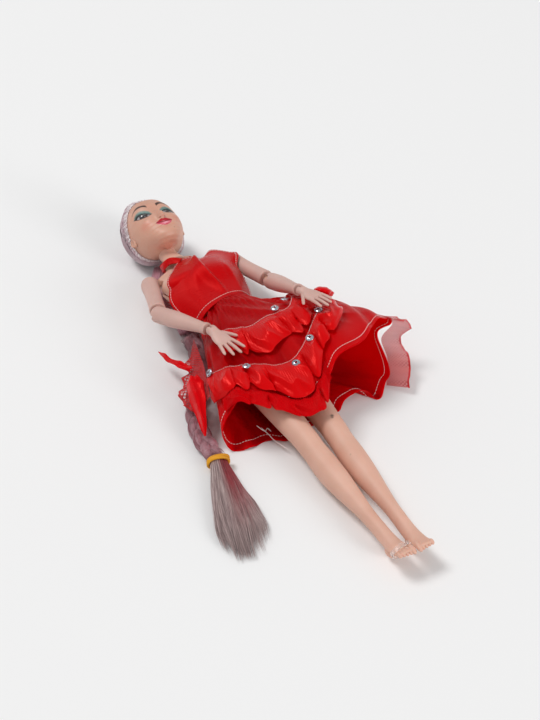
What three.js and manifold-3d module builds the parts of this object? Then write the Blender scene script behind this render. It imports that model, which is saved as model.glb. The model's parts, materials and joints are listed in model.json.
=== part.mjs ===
// Fashion doll lying on its back in a red party dress.
// Millimetres. +X is the doll's left side, +Y runs up to the crown of the head, +Z is up from the floor.
// The origin is on the floor under the middle of the hips.

import * as THREE from "three";
import { mergeVertices } from "three/addons/utils/BufferGeometryUtils.js";
import Module from "manifold-3d";

const wasm = await Module();
wasm.setup();

// Fits that every joint and every layer of cloth shares
const clearance = 0.3;
const halfClearance = clearance / 2;
const looseClearance = 2 * clearance;
const easyClearance = 3 * clearance;
const scalpGap = 2.4 * clearance;
const weld = 0.001;
const overrun = 60;
const farOverrun = 3 * overrun;

// Torso: two hard shells that meet on the joint line
const jointLine = 13;
const torsoLength = 88;
const torsoHalfWidth = 21.6;
const torsoHalfDepth = 11.7;
const shellWall = 1.7;
const shoulderShare = 0.8295;
const shoulderHeight = shoulderShare * torsoLength;
const shoulderHalfSpan = 24.6;
const waistShare = 0.4034;
const waistHeight = waistShare * torsoLength;
const crotchHalfWidth = 3;
const hipHalfSpan = 10;
const hipTopRadius = 9.6;
const axleRadius = 2;
const axleHeadRadius = 3.2;
const axleHeadLength = 1.6;
const axleReach = 2.6;

// Neck and the knob that carries the head
const neckRise = 3.5;
const neckRoot = { x: -4.9, y: torsoLength + neckRise, z: 13.9 };
const neckRadius = 5.1;
const neckSunk = 13;
const neckInHead = 3.5;
const knobStemRadius = 2.1;
const knobStemSunk = 7;
const knobHeadRadius = 6.6;
const knobHeadHeight = 3;
const neckRoomRise = 10;

// Head: a hollow vinyl shell, and the rooted hair scraped back over it
const headHeight = 40;
const headWall = 2.2;
const headLift = 19.4;
const headOverNeck = 16.6;
const headReach = neckRoot.y + headOverNeck;
const headSide = -5.2;
const headFloor = 7;
const knobSeat = headReach - headFloor - neckRoot.y + clearance;
const earHeight = 6.4;
const earDepth = 4.6;
const earThickness = 2;
const scalpHair = 1.6;
const crownHair = 3.4;

// Arms
const shoulderBall = 5.1;
const elbowBall = 4.5;
const wristBall = 2.9;
const upperArmLength = 36.4;
const upperArmRadius = 4.3;
const forearmLength = 39.4;
const forearmRadius = 4.5;
const handLength = 22;
const palmHalfWidth = 4.3;
const palmHalfThickness = 1.7;
const fingerRadius = 1;

// Legs
const legLength = 131.5;
const ankleSide = { right: -4.343, left: 6.581 };
const ankleDrop = 4.34;
const thighHalfWidth = 8.4;
const thighHalfDepth = 9.4;
const footLength = 18;
const footHalfWidth = 4.4;
const footHalfHeight = 3.8;
const heelRadius = 3.2;
const toeRadius = 1.1;
const footBandWidth = 2.2;
const footBandWall = 0.5;

// Dress
const clothThickness = 0.8;
const skirtLength = 90.5;
const skirtSpread = 66;
const skirtRise = 36;
const waistHalfWidth = 14.2;
const waistHalfDepth = 10.5;
const waistSide = 1.5;
const ruffleLift = 0.6;
const lowerRuffleLift = 1.2;
const ruffleWave = 0.8;
const netWave = 1.28;
const hemNetLift = 1;
const netThickness = 0.5;
const strapWidth = 3.6;
const strapDrop = 6.1;
const strapHeight = neckRoot.y - strapDrop;
const ribbonThickness = 0.7;
const placketHalfWidth = 3;
const sequinRadius = 2.1;
const sequinHole = 0.75;
const sequinThickness = 0.8;

// Hair behind the head
const ponytailHalfWidth = 5;
const ponytailHalfDepth = 2.6;
const braidHalfWidth = 5.2;
const braidHalfDepth = 3;
const braidLength = 150;
const tieRadius = 1.1;
const tailLength = 53;
const tailHalfWidth = 10;
const tailHalfDepth = 2.6;
const tailGap = 1.2;

// Facets round a limb, a joint ball or a hank of hair
const limbSides = 12;
const smallSides = 10;
const hankSides = 8;
const ponytailStepCount = 14;
const braidStepCount = 28;
const jointSides = 8;
const fingerSides = 6;
const barrelSides = 24;

const turn = Math.PI * 2;
const quarterTurn = turn / 4;
const roundPowerShare = 2;
const curveTensionShare = 0.5;
const v3 = (x, y, z) => new THREE.Vector3(x, y, z);
const smoothCurve = (points, closed = false) => (
  new THREE.CatmullRomCurve3(points, closed, "catmullrom", curveTensionShare)
);
const fromShare = (share, size) => v3(share[0] * size[0], share[1] * size[1], share[2] * size[2]);

// Solids from rings and grids

// An indexed geometry whose faces point outward, whichever way its rings were wound
function closedGeometry(points, faces) {
  let volume = 0;
  for (let i = 0; i < faces.length; i += 3) {
    const [a, b, c] = [points[faces[i]], points[faces[i + 1]], points[faces[i + 2]]];
    volume += a.dot(b.clone().cross(c));
  }
  const index = volume < 0 ? faces.reverse() : faces;
  const geometry = new THREE.BufferGeometry().setFromPoints(points);
  geometry.setIndex(index);
  return geometry;
}

// Rings joined one to the next, with a fan over each end; the fans meet at `tips` or at the rings' middles
function skinRings(rings, tips = []) {
  const sides = rings[0].length;
  const points = rings.flat();
  const faces = [];
  for (let r = 0; r + 1 < rings.length; r++) {
    for (let s = 0; s < sides; s++) {
      const a = r * sides + s;
      const b = r * sides + (s + 1) % sides;
      faces.push(a, b, b + sides, a, b + sides, a + sides);
    }
  }
  for (const [end, flip] of [[0, true], [rings.length - 1, false]]) {
    const start = end * sides;
    const middle = points.length;
    const mean = rings[end].reduce((sum, p) => sum.add(p), v3(0, 0, 0)).divideScalar(sides);
    points.push(tips[flip ? 0 : 1] ?? mean);
    for (let s = 0; s < sides; s++) {
      const a = start + s;
      const b = start + (s + 1) % sides;
      faces.push(...(flip ? [b, a, middle] : [a, b, middle]));
    }
  }
  return closedGeometry(points, faces);
}

// A sheet of cloth: the same grid of points on its two faces, closed round its rim
function skinSheet(outer, inner, wrapped) {
  const rows = outer.length;
  const columns = outer[0].length;
  const points = [...outer.flat(), ...inner.flat()];
  const far = rows * columns;
  const faces = [];
  const at = (row, column) => (row % rows) * columns + column;
  const quad = (a, b, c, d) => faces.push(a, b, c, a, c, d);
  const lastRow = wrapped ? rows : rows - 1;
  for (let r = 0; r < lastRow; r++) {
    for (let c = 0; c + 1 < columns; c++) {
      quad(at(r, c), at(r, c + 1), at(r + 1, c + 1), at(r + 1, c));
      quad(far + at(r + 1, c), far + at(r + 1, c + 1), far + at(r, c + 1), far + at(r, c));
    }
    quad(at(r, 0), at(r + 1, 0), far + at(r + 1, 0), far + at(r, 0));
    const end = columns - 1;
    quad(at(r + 1, end), at(r, end), far + at(r, end), far + at(r + 1, end));
  }
  if (!wrapped) {
    for (let c = 0; c + 1 < columns; c++) {
      quad(at(0, c + 1), at(0, c), far + at(0, c), far + at(0, c + 1));
      const end = rows - 1;
      quad(at(end, c), at(end, c + 1), far + at(end, c + 1), far + at(end, c));
    }
  }
  return closedGeometry(points, faces);
}

// One oval ring square to Y; power 2 is an ellipse and a larger power is squarer
function ovalRing(centre, halfWidth, halfDepth, power, sides) {
  const round = (value) => Math.sign(value) * Math.abs(value) ** (2 / power);
  return Array.from({ length: sides }, (_, i) => {
    const angle = (turn * i) / sides;
    return v3(
      centre.x + halfWidth * round(Math.cos(angle)),
      centre.y,
      centre.z + halfDepth * round(Math.sin(angle)),
    );
  });
}

// Manifold solids, which cut and join the meshes
function solidOf(geometry) {
  const bare = geometry.clone();
  bare.deleteAttribute("normal");
  bare.deleteAttribute("uv");
  const merged = mergeVertices(bare, weld);
  const corners = merged.index.array;
  const kept = [];
  for (let i = 0; i < corners.length; i += 3) {
    const [a, b, c] = [corners[i], corners[i + 1], corners[i + 2]];
    if (a !== b && b !== c && c !== a) kept.push(a, b, c);
  }
  return new wasm.Manifold(new wasm.Mesh({
    numProp: 3,
    vertProperties: new Float32Array(merged.attributes.position.array),
    triVerts: new Uint32Array(kept),
  }));
}

function geometryOf(solid) {
  const mesh = solid.getMesh();
  const geometry = new THREE.BufferGeometry();
  geometry.setAttribute("position", new THREE.BufferAttribute(new Float32Array(mesh.vertProperties), 3));
  geometry.setIndex(new THREE.BufferAttribute(new Uint32Array(mesh.triVerts), 1));
  return geometry;
}

const cut = (body, ...tools) => tools.reduce((left, tool) => left.subtract(tool), body);
const join = (...bodies) => bodies.reduce((sum, body) => sum.add(body));

function boxSolid(low, high) {
  const size = high.clone().sub(low);
  const middle = high.clone().add(low).multiplyScalar(0.5);
  return solidOf(new THREE.BoxGeometry(size.x, size.y, size.z).translate(middle.x, middle.y, middle.z));
}

// A turned solid whose axis is Y, from [radius, height] pairs that start and end on the axis
function turnedSolid(profile, sides = jointSides) {
  return solidOf(new THREE.LatheGeometry(profile.map(([r, h]) => new THREE.Vector2(r, h)), sides));
}

function rodSolid(radius, from, to, sides = jointSides) {
  return turnedSolid([[0, from], [radius, from], [radius, to], [0, to]], sides);
}

const ballSolid = (radius, sides = limbSides) => solidOf(new THREE.SphereGeometry(radius, sides, sides / 2));
const moved = (solid, matrix) => solid.transform(matrix.elements);
const shiftedBy = (solid, x, y, z) => moved(solid, new THREE.Matrix4().makeTranslation(x, y, z));
const aboutX = (angle) => new THREE.Matrix4().makeRotationX(angle);
const aboutZ = (angle) => new THREE.Matrix4().makeRotationZ(angle);
const yToX = aboutZ(-quarterTurn);
const yToZ = aboutX(quarterTurn);

// A frame at a joint: its -Y runs down the limb and its +Z lies toward the given hint
function limbFrame(origin, down, hint) {
  const y = down.clone().normalize().negate();
  const z = hint.clone().addScaledVector(y, -hint.dot(y)).normalize();
  const x = v3(0, 0, 0).crossVectors(y, z);
  return new THREE.Matrix4().makeBasis(x, y, z).setPosition(origin);
}

// Seen from frame `to`, where frame `from` lies
const between = (to, from) => to.clone().invert().multiply(from);

// Materials, by what each piece is moulded or sewn from
const finish = (color, roughness, metalness = 0) => ({ color, roughness, metalness });
const finishes = {
  bodyPlastic: finish(0xd8a98c, 0.45),
  armPlastic: finish(0xcfa79a, 0.5),
  legVinyl: finish(0xdba684, 0.42),
  headVinyl: finish(0xc58c74, 0.45),
  jointPlastic: finish(0xc98a66, 0.4),
  hair: finish(0xb79aa0, 0.5),
  elastic: finish(0xd98a17, 0.6),
  satin: finish(0xc50a10, 0.35),
  net: finish(0xb01018, 0.7),
  ribbon: finish(0xe01018, 0.25),
  sequin: finish(0xc8ccd4, 0.15, 0.9),
  clearPlastic: finish(0xe8e4e4, 0.1),
};

function piece(name, solid, finishName, frame = null) {
  const material = new THREE.MeshStandardMaterial(finishes[finishName]);
  const mesh = new THREE.Mesh(solid.isBufferGeometry ? solid : geometryOf(solid), material);
  mesh.name = name;
  if (frame) frame.decompose(mesh.position, mesh.quaternion, mesh.scale);
  return mesh;
}

// Torso

// Each row: height, half width, half depth and lift of one section
const torsoShares = [
  [-0.115, 0.30, 0.55, 0.02],
  [-0.07, 0.62, 0.80, 0],
  [0.03, 0.80, 0.98, 0],
  [0.12, 0.83, 1.00, 0],
  [0.22, 0.74, 0.88, 0],
  [0.33, 0.60, 0.76, 0],
  [0.43, 0.53, 0.72, 0.02],
  [0.53, 0.61, 0.84, 0.05],
  [0.62, 0.70, 1.00, 0.10],
  [0.68, 0.75, 1.04, 0.12],
  [0.75, 0.86, 0.90, 0.04],
  [0.81, 0.96, 0.74, -0.02],
  [0.855, 1.00, 0.61, -0.02],
  [0.90, 0.90, 0.53, 0],
  [0.935, 0.60, 0.47, 0.02],
  [0.965, 0.34, 0.43, 0.04],
];
const torsoPowerShare = 2.3;
const [cavityBottomRow, cavityTopRow] = [3, 9];

function torsoLoft(grow, firstRow = 0, lastRow = torsoShares.length - 1, sides = 18) {
  const rings = torsoShares.slice(firstRow, lastRow + 1).map(([height, width, depth, lift]) => {
    const centre = v3(0, height * torsoLength, jointLine + lift * torsoHalfDepth);
    const halfWidth = width * torsoHalfWidth + grow;
    const halfDepth = depth * torsoHalfDepth + grow;
    return ovalRing(centre, halfWidth, halfDepth, torsoPowerShare, sides);
  });
  return solidOf(skinRings(rings));
}

// Hinge links: a flat tang on a pin inside a joint ball, and a stem with a head that turns in its socket

// Sizes of a link, as shares of the ball that it fits
const linkShares = { halfWidth: 0.35, thickness: 0.36, stem: 0.4, head: 0.6, pin: 0.18 };
const stemLengthShare = 0.9;
const linkHeadShare = 0.28;
const pinLengthShare = 0.84;

function linkSizes(ball) {
  const reach = ball + clearance;
  const headFrom = reach + stemLengthShare * ball;
  return {
    ball,
    reach,
    headFrom,
    headTo: headFrom + linkHeadShare * ball,
    halfWidth: linkShares.halfWidth * ball,
    halfThickness: (linkShares.thickness * ball) / 2,
    stem: linkShares.stem * ball,
    head: linkShares.head * ball,
    pin: linkShares.pin * ball,
  };
}

// The pivot is at the origin with the pin along Z, and the stem runs up Y
function linkSolid(link) {
  const tang = boxSolid(
    v3(-link.halfWidth, 0, -link.halfThickness),
    v3(link.halfWidth, link.reach + link.halfThickness, link.halfThickness),
  );
  const eye = moved(rodSolid(link.halfWidth, -link.halfThickness, link.halfThickness), yToZ);
  const stem = turnedSolid([
    [0, link.reach],
    [link.stem, link.reach],
    [link.stem, link.headFrom],
    [link.head, link.headFrom],
    [link.stem, link.headTo],
    [0, link.headTo],
  ]);
  const hole = moved(rodSolid(link.pin + clearance, -overrun, overrun), yToZ);
  return cut(join(tang, eye, stem), hole);
}

// What the link needs cut away from the piece that its stem turns in
function linkSocket(link) {
  return turnedSolid([
    [0, 0],
    [link.stem + clearance, 0],
    [link.stem + clearance, link.headFrom - clearance],
    [link.head + clearance, link.headFrom - clearance],
    [link.head + clearance, link.headTo + clearance],
    [0, link.headTo + clearance],
  ]);
}

// The slot and pin hole in a joint ball; the slot is open to both sides and to the top
function linkSlot(link) {
  const low = -link.halfWidth - clearance;
  const half = link.halfThickness + clearance;
  const slot = boxSolid(v3(-overrun, low, -half), v3(overrun, overrun, half));
  const hole = moved(rodSolid(link.pin + clearance, -overrun, overrun), yToZ);
  return join(slot, hole);
}

function pinSolid(link) {
  const half = pinLengthShare * link.ball;
  return moved(rodSolid(link.pin, -half, half), yToZ);
}

const shoulderLink = linkSizes(shoulderBall);
const elbowLink = linkSizes(elbowBall);
const wristLink = linkSizes(wristBall);

// A limb section: rows of [distance down, half width, half depth, side shift, front shift]
function limbSolid(rows, length, halfWidth, halfDepth, sides = limbSides) {
  const rings = rows.map(([down, width, depth, side = 0, front = 0]) => {
    const centre = v3(side * halfWidth, -down * length, front * halfDepth);
    return ovalRing(centre, width * halfWidth, depth * halfDepth, roundPowerShare, sides);
  });
  return solidOf(skinRings(rings));
}

// The round top of a limb, in rows that close over its joint ball
function domeRows(radius, length, halfWidth, halfDepth) {
  const domeShares = [0.12, 0.3, 0.5, 0.75];
  return domeShares.map((share) => {
    const angle = share * quarterTurn;
    const across = radius * Math.sin(angle);
    return [(-radius * Math.cos(angle)) / length, across / halfWidth, across / halfDepth];
  });
}

// Where each limb lies in this pose: unit directions, with no length of their own
const poseShares = {
  right: {
    side: "right",
    sign: -1,
    upperArm: [-0.261, -0.94, 0.22],
    forearm: [0.338, -0.905, 0.265],
    hand: [0.2, -0.978, -0.05],
  },
  left: {
    side: "left",
    sign: 1,
    upperArm: [0.184, -0.964, 0.195],
    forearm: [-0.04, -0.89, 0.455],
    hand: [0.24, -0.95, 0.2],
  },
};

function armFrames({ sign, upperArm, forearm, hand }) {
  const [upperDown, foreDown, handDown] = [upperArm, forearm, hand].map((share) => v3(...share).normalize());
  const up = v3(0, 0, 1);
  const shoulder = v3(sign * shoulderHalfSpan, shoulderHeight, jointLine);
  const elbow = shoulder.clone().addScaledVector(upperDown, upperArmLength);
  const wrist = elbow.clone().addScaledVector(foreDown, forearmLength);
  const spreadAxis = v3(0, -upperDown.z, -upperDown.y).normalize();
  const elbowAxis = v3(0, 0, 0).crossVectors(upperDown, foreDown).normalize();
  const wristAxis = v3(0, 0, 0).crossVectors(foreDown, up).normalize();
  return {
    shoulderLink: limbFrame(shoulder, v3(sign, 0, 0), spreadAxis),
    upperArm: limbFrame(shoulder, upperDown, spreadAxis),
    elbowLink: limbFrame(elbow, upperDown, elbowAxis),
    forearm: limbFrame(elbow, foreDown, elbowAxis),
    wristLink: limbFrame(wrist, foreDown, wristAxis),
    hand: limbFrame(wrist, handDown, up),
  };
}

// Arms

const upperArmShares = [
  [0.03, 1.18, 1.18],
  [0.13, 1.12, 1.14],
  [0.27, 1.03, 1.05],
  [0.45, 0.98, 0.98],
  [0.62, 0.97, 0.97],
  [0.78, 1.0, 1.0],
];
const forearmShares = [
  [0, 1, 1],
  [0.1, 1.0, 0.99],
  [0.22, 1.02, 1.0],
  [0.36, 0.99, 0.95],
  [0.52, 0.88, 0.84],
  [0.7, 0.74, 0.70],
  [0.83, 0.65, 0.63],
];
const wristNeckShares = [0.65, 0.63];
const wristCupShare = 0.74;
const cupLipShares = { neck: 4, rim: 3 };
const endRoundShare = 0.12;

function upperArmSolid(frames) {
  const end = upperArmLength - elbowBall - clearance;
  const round = endRoundShare * elbowBall;
  const rows = [
    ...domeRows(shoulderBall, upperArmLength, upperArmRadius, upperArmRadius),
    ...upperArmShares,
    [(end - round) / upperArmLength, elbowBall / upperArmRadius, elbowBall / upperArmRadius],
    [end / upperArmLength, (elbowBall - round) / upperArmRadius, (elbowBall - round) / upperArmRadius],
  ];
  const arm = limbSolid(rows, upperArmLength, upperArmRadius, upperArmRadius);
  const slot = moved(linkSlot(shoulderLink), between(frames.upperArm, frames.shoulderLink));
  const slotToTop = linkSlot(shoulderLink);
  const socket = moved(linkSocket(elbowLink), between(frames.upperArm, frames.elbowLink));
  const ball = ballSolid(shoulderBall + clearance);
  return cut(arm, slot.intersect(ball), slotToTop.intersect(ball), socket);
}

function forearmSolid(frames) {
  const end = forearmLength - wristBall - clearance;
  const lip = endRoundShare * forearmRadius;
  const rows = [
    ...domeRows(elbowBall, forearmLength, forearmRadius, forearmRadius),
    ...forearmShares,
    [(end - cupLipShares.neck * lip) / forearmLength, ...wristNeckShares],
    [(end - cupLipShares.rim * lip) / forearmLength, wristCupShare, wristCupShare],
    [end / forearmLength, wristCupShare, wristCupShare],
  ];
  const arm = limbSolid(rows, forearmLength, forearmRadius, forearmRadius);
  const slot = moved(linkSlot(elbowLink), between(frames.forearm, frames.elbowLink));
  const slotToTop = linkSlot(elbowLink);
  const ball = ballSolid(elbowBall + clearance);
  const socket = moved(linkSocket(wristLink), between(frames.forearm, frames.wristLink));
  return cut(arm, slot.intersect(ball), slotToTop.intersect(ball), socket);
}

const palmShares = [
  [-0.09, 0.42, 0.9],
  [-0.02, 0.66, 1.55],
  [0.06, 0.64, 1.5],
  [0.14, 0.68, 1.12],
  [0.24, 0.88, 1.05],
  [0.36, 1, 1],
  [0.46, 1.02, 0.86],
  [0.5, 0.94, 0.6],
];
// Each finger: root across the palm, root down the hand, length down the hand, lean outward
const fingerShares = [
  [-0.76, 0.46, 0.36, -0.26],
  [-0.27, 0.48, 0.46, -0.08],
  [0.24, 0.48, 0.5, 0.1],
  [0.75, 0.46, 0.43, 0.3],
];
const thumbShares = [0.72, 0.2, 0.36, 0.72];

function fingerSolid([across, down, long, lean], thumbSide) {
  const length = long * handLength;
  const profileShares = [[-0.12, 0.9], [0.4, 1.08], [0.84, 0.8], [0.97, 0.5]];
  const rings = profileShares.map(([along, radius]) => {
    const centre = v3(0, -along * length, 0);
    return ovalRing(centre, radius * fingerRadius, radius * fingerRadius, roundPowerShare, fingerSides);
  });
  const turned = aboutZ(lean * thumbSide);
  turned.setPosition(across * palmHalfWidth * thumbSide, -down * handLength, 0);
  return moved(solidOf(skinRings(rings)), turned);
}

function handSolid(frames, sign) {
  const thumbSide = -sign;
  const palm = limbSolid(palmShares, handLength, palmHalfWidth, palmHalfThickness, hankSides);
  const fingers = fingerShares.map((share) => fingerSolid(share, thumbSide));
  const hand = join(palm, ...fingers, fingerSolid(thumbShares, thumbSide), ballSolid(wristBall, smallSides));
  const slot = moved(linkSlot(wristLink), between(frames.hand, frames.wristLink));
  const reach = ballSolid(wristBall + clearance);
  return cut(hand, slot.intersect(reach));
}

function armPieces(side) {
  const pose = poseShares[side];
  const frames = armFrames(pose);
  const arm = new THREE.Group();
  arm.add(
    piece(`${side}_shoulder_peg`, linkSolid(shoulderLink), "jointPlastic", frames.shoulderLink),
    piece(`${side}_shoulder_pin`, pinSolid(shoulderLink), "jointPlastic", frames.shoulderLink),
    piece(`${side}_upper_arm`, upperArmSolid(frames), "armPlastic", frames.upperArm),
    piece(`${side}_elbow_peg`, linkSolid(elbowLink), "jointPlastic", frames.elbowLink),
    piece(`${side}_elbow_pin`, pinSolid(elbowLink), "jointPlastic", frames.elbowLink),
    piece(`${side}_forearm`, forearmSolid(frames), "armPlastic", frames.forearm),
    piece(`${side}_wrist_peg`, linkSolid(wristLink), "jointPlastic", frames.wristLink),
    piece(`${side}_wrist_pin`, pinSolid(wristLink), "jointPlastic", frames.wristLink),
    piece(`${side}_hand`, handSolid(frames, pose.sign), "armPlastic", frames.hand),
  );
  return arm;
}

// Legs

const legShares = [
  [0.0, 0.97, 1.0, 0, 0],
  [0.09, 1.0, 1.0, 0, 0],
  [0.2, 0.98, 0.96, 0, 0.02],
  [0.32, 0.9, 0.86, 0, 0.03],
  [0.42, 0.8, 0.76, 0, 0.04],
  [0.49, 0.73, 0.7, 0, 0.05],
  [0.53, 0.72, 0.69, 0, 0.04],
  [0.58, 0.7, 0.66, 0, -0.02],
  [0.66, 0.75, 0.72, 0, -0.1],
  [0.74, 0.7, 0.68, 0, -0.1],
  [0.83, 0.55, 0.54, 0, -0.05],
  [0.91, 0.43, 0.43, 0, -0.02],
  [0.97, 0.4, 0.42, 0, 0],
  [1.01, 0.4, 0.42, 0, 0.01],
];
// The foot points down the leg: each row is distance down, half width, half height and rise to the front
const footShares = [
  [-0.1, 0.76, 0.98, 0],
  [0.3, 0.82, 0.95, 0.04],
  [0.6, 0.92, 0.78, 0.4],
  [0.82, 1, 0.55, 0.95],
  [0.97, 0.92, 0.36, 1.4],
];
const footPowerShare = 2.4;
const heelShares = { down: 0.46, back: 1.02 };
const toesAcrossShares = [-0.72, -0.36, 0, 0.36, 0.72];
const toesDownShare = 0.99;
const toesRiseShare = 1.42;

function footSolid() {
  const rings = footShares.map(([down, width, height, rise]) => {
    const centre = v3(0, -down * footLength, rise * footHalfHeight);
    return ovalRing(centre, width * footHalfWidth, height * footHalfHeight, footPowerShare, smallSides);
  });
  const sole = solidOf(skinRings(rings));
  const heel = shiftedBy(
    ballSolid(heelRadius, smallSides), 0, -heelShares.down * footLength, -heelShares.back * footHalfHeight,
  );
  const toes = toesAcrossShares.map((across) => shiftedBy(
    ballSolid(toeRadius, fingerSides),
    across * footHalfWidth, -toesDownShare * footLength, toesRiseShare * footHalfHeight,
  ));
  return join(sole, heel, ...toes);
}

function hipAxleProfile(grow) {
  const headFrom = hipHalfSpan + axleReach - axleHeadLength;
  return [
    [0, -hipHalfSpan - axleReach - grow],
    [axleHeadRadius + grow, -hipHalfSpan - axleReach - grow],
    [axleHeadRadius + grow, -headFrom + grow],
    [axleRadius + grow, -headFrom + grow],
    [axleRadius + grow, headFrom - grow],
    [axleHeadRadius + grow, headFrom - grow],
    [axleHeadRadius + grow, hipHalfSpan + axleReach + grow],
    [0, hipHalfSpan + axleReach + grow],
  ];
}

const hipAxle = (grow) => shiftedBy(moved(turnedSolid(hipAxleProfile(grow)), yToX), 0, 0, jointLine);

// The leg points from the hip to where its ankle lies
function legFrame({ side, sign }) {
  const hip = v3(sign * hipHalfSpan, 0, jointLine);
  const across = ankleSide[side] - hip.x;
  const down = Math.sqrt(legLength ** 2 - across ** 2 - ankleDrop ** 2);
  return limbFrame(hip, v3(across, -down, -ankleDrop), v3(0, 0, 1));
}

const hipDomeShares = [0.15, 0.32, 0.52, 0.75];
const hipWidthShare = 0.94;

function legSolid(pose) {
  const frame = legFrame(pose);
  const topRows = hipDomeShares.map((share) => {
    const angle = share * quarterTurn;
    const depth = hipTopRadius * Math.sin(angle);
    return [(-hipTopRadius * Math.cos(angle)) / legLength, hipWidthShare, depth / thighHalfDepth];
  });
  const leg = limbSolid([...topRows, ...legShares], legLength, thighHalfWidth, thighHalfDepth);
  const foot = shiftedBy(footSolid(), 0, -legLength, 0);
  const inner = crotchHalfWidth + clearance;
  const round = rodSolid(torsoHalfDepth + looseClearance, -inner, inner, barrelSides);
  const web = join(
    boxSolid(v3(-inner, 0, jointLine - overrun), v3(inner, overrun, jointLine + overrun)),
    shiftedBy(moved(round, yToX), 0, 0, jointLine),
  );
  const toFrame = frame.clone().invert();
  return cut(join(leg, foot), moved(web, toFrame), moved(hipAxle(clearance), toFrame));
}

const footBandShares = { down: 0.8, rise: 0.9, width: 1.02, height: 0.8 };

// A clear band left round the right foot, behind the toes
function footBand() {
  const rings = [];
  for (const grow of [clearance, clearance + footBandWall]) {
    const along = footBandWidth / 2;
    for (const shift of [-along, along]) {
      const centre = v3(0, shift - footBandShares.down * footLength, footBandShares.rise * footHalfHeight);
      const halfWidth = footBandShares.width * footHalfWidth + grow;
      const halfHeight = footBandShares.height * footHalfHeight + grow;
      rings.push(ovalRing(centre, halfWidth, halfHeight, footPowerShare, limbSides));
    }
  }
  const outer = solidOf(skinRings([rings[2], rings[3]]));
  const inner = solidOf(skinRings([rings[0], rings[1]].map((ring, i) => ring.map((p) => (
    v3(p.x, p.y + (i ? clearance : -clearance), p.z)
  )))));
  return shiftedBy(cut(outer, inner), 0, -legLength, 0);
}

// Torso shells

const neckAxisShare = [-0.038, 0.996, 0.078];
const neckAxis = v3(...neckAxisShare);
const neckFrame = limbFrame(v3(neckRoot.x, neckRoot.y, neckRoot.z), neckAxis.clone().negate(), v3(0, 0, 1));

const knobTopShare = 0.6;

function knobProfile(grow) {
  return [
    [0, -knobStemSunk - grow],
    [knobStemRadius + grow, -knobStemSunk - grow],
    [knobStemRadius + grow, knobSeat - grow],
    [knobHeadRadius + grow, knobSeat - grow],
    [knobTopShare * knobHeadRadius + grow, knobSeat + knobHeadHeight + grow],
    [0, knobSeat + knobHeadHeight + grow],
  ];
}

function torsoSolid() {
  const neck = moved(rodSolid(neckRadius, -neckSunk, neckInHead, limbSides), neckFrame);
  const cavity = torsoLoft(-shellWall, cavityBottomRow, cavityTopRow);
  const knobBore = moved(rodSolid(knobStemRadius + clearance, -knobStemSunk - clearance, overrun), neckFrame);
  const legRoom = [-1, 1].flatMap((side) => {
    const from = crotchHalfWidth;
    const barrel = moved(rodSolid(hipTopRadius + clearance, from, overrun, barrelSides), yToX);
    const lift = boxSolid(v3(from, -overrun, 0), v3(overrun, hipTopRadius + clearance, overrun));
    const below = boxSolid(v3(from, -overrun, -overrun), v3(overrun, 0, overrun));
    const flip = new THREE.Matrix4().makeScale(side, 1, 1);
    return [barrel, lift, below].map((room) => shiftedBy(moved(room, flip), 0, 0, jointLine));
  });
  const shoulders = Object.values(poseShares).flatMap((pose) => {
    const frames = armFrames(pose);
    const outward = pose.sign * (shoulderHalfSpan - shoulderBall - looseClearance);
    const far = outward + pose.sign * overrun;
    const corners = [v3(outward, hipTopRadius, -overrun), v3(far, farOverrun, overrun)];
    return [
      boxSolid(corners[0].clone().min(corners[1]), corners[0].clone().max(corners[1])),
      moved(linkSocket(shoulderLink), frames.shoulderLink),
    ];
  });
  const webRound = rodSolid(-torsoShares[0][0] * torsoLength, -overrun, overrun, barrelSides);
  const underWeb = cut(
    boxSolid(v3(-overrun, -overrun, -overrun), v3(overrun, 0, overrun)),
    moved(webRound, yToX),
  );
  legRoom.push(shiftedBy(underWeb, 0, 0, jointLine));
  return cut(join(torsoLoft(0), neck), cavity, knobBore, ...legRoom, ...shoulders, hipAxle(clearance));
}

function torsoHalves() {
  const whole = torsoSolid();
  const far = farOverrun;
  const front = boxSolid(v3(-far, -far, jointLine + halfClearance), v3(far, far, far));
  const back = boxSolid(v3(-far, -far, -far), v3(far, far, jointLine - halfClearance));
  return { front: whole.intersect(front), back: whole.intersect(back) };
}

// Head

// Distance from the head's centre, by angle above the eye line, at the front, side and back
const frontShares = [
  [-90, 0.385], [-72, 0.43], [-62, 0.505], [-56, 0.55], [-50, 0.545], [-44, 0.505], [-38, 0.465],
  [-30, 0.43], [-22, 0.405], [-15, 0.395], [-5, 0.39], [5, 0.378], [15, 0.395], [30, 0.43],
  [50, 0.455], [70, 0.47], [90, 0.475],
];
const sideShares = [
  [-90, 0.385], [-75, 0.37], [-60, 0.362], [-45, 0.352], [-30, 0.343], [-15, 0.353], [0, 0.365], [15, 0.38],
  [30, 0.40], [50, 0.43], [70, 0.455], [90, 0.475],
];
const backShares = [
  [-90, 0.385], [-60, 0.36], [-40, 0.372], [-20, 0.41], [0, 0.445], [10, 0.455], [30, 0.47],
  [60, 0.485], [90, 0.475],
];
// Each feature: angle across, angle up, spread across, spread up, height
const featureShares = [
  [0, -15, 7, 7, 0.075],
  [0, -5, 6, 9, 0.03],
  [0, -27.5, 13, 3, 0.018],
  [0, -34, 11, 3.2, 0.022],
  [0, -39.5, 14, 3.5, -0.018],
  [24, 4, 11, 6, -0.018],
  [-24, 4, 11, 6, -0.018],
  [32, -16, 15, 11, 0.014],
  [-32, -16, 15, 11, 0.014],
];
const headPowerShare = 2.25;

function tableAt(table, angle) {
  const upper = Math.max(1, table.findIndex(([at]) => at >= angle));
  const [low, high] = [table[upper - 1], table[upper]];
  const share = (angle - low[0]) / (high[0] - low[0]);
  const eased = (share + THREE.MathUtils.smoothstep(share, 0, 1)) / 2;
  return low[1] + (high[1] - low[1]) * eased;
}

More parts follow.
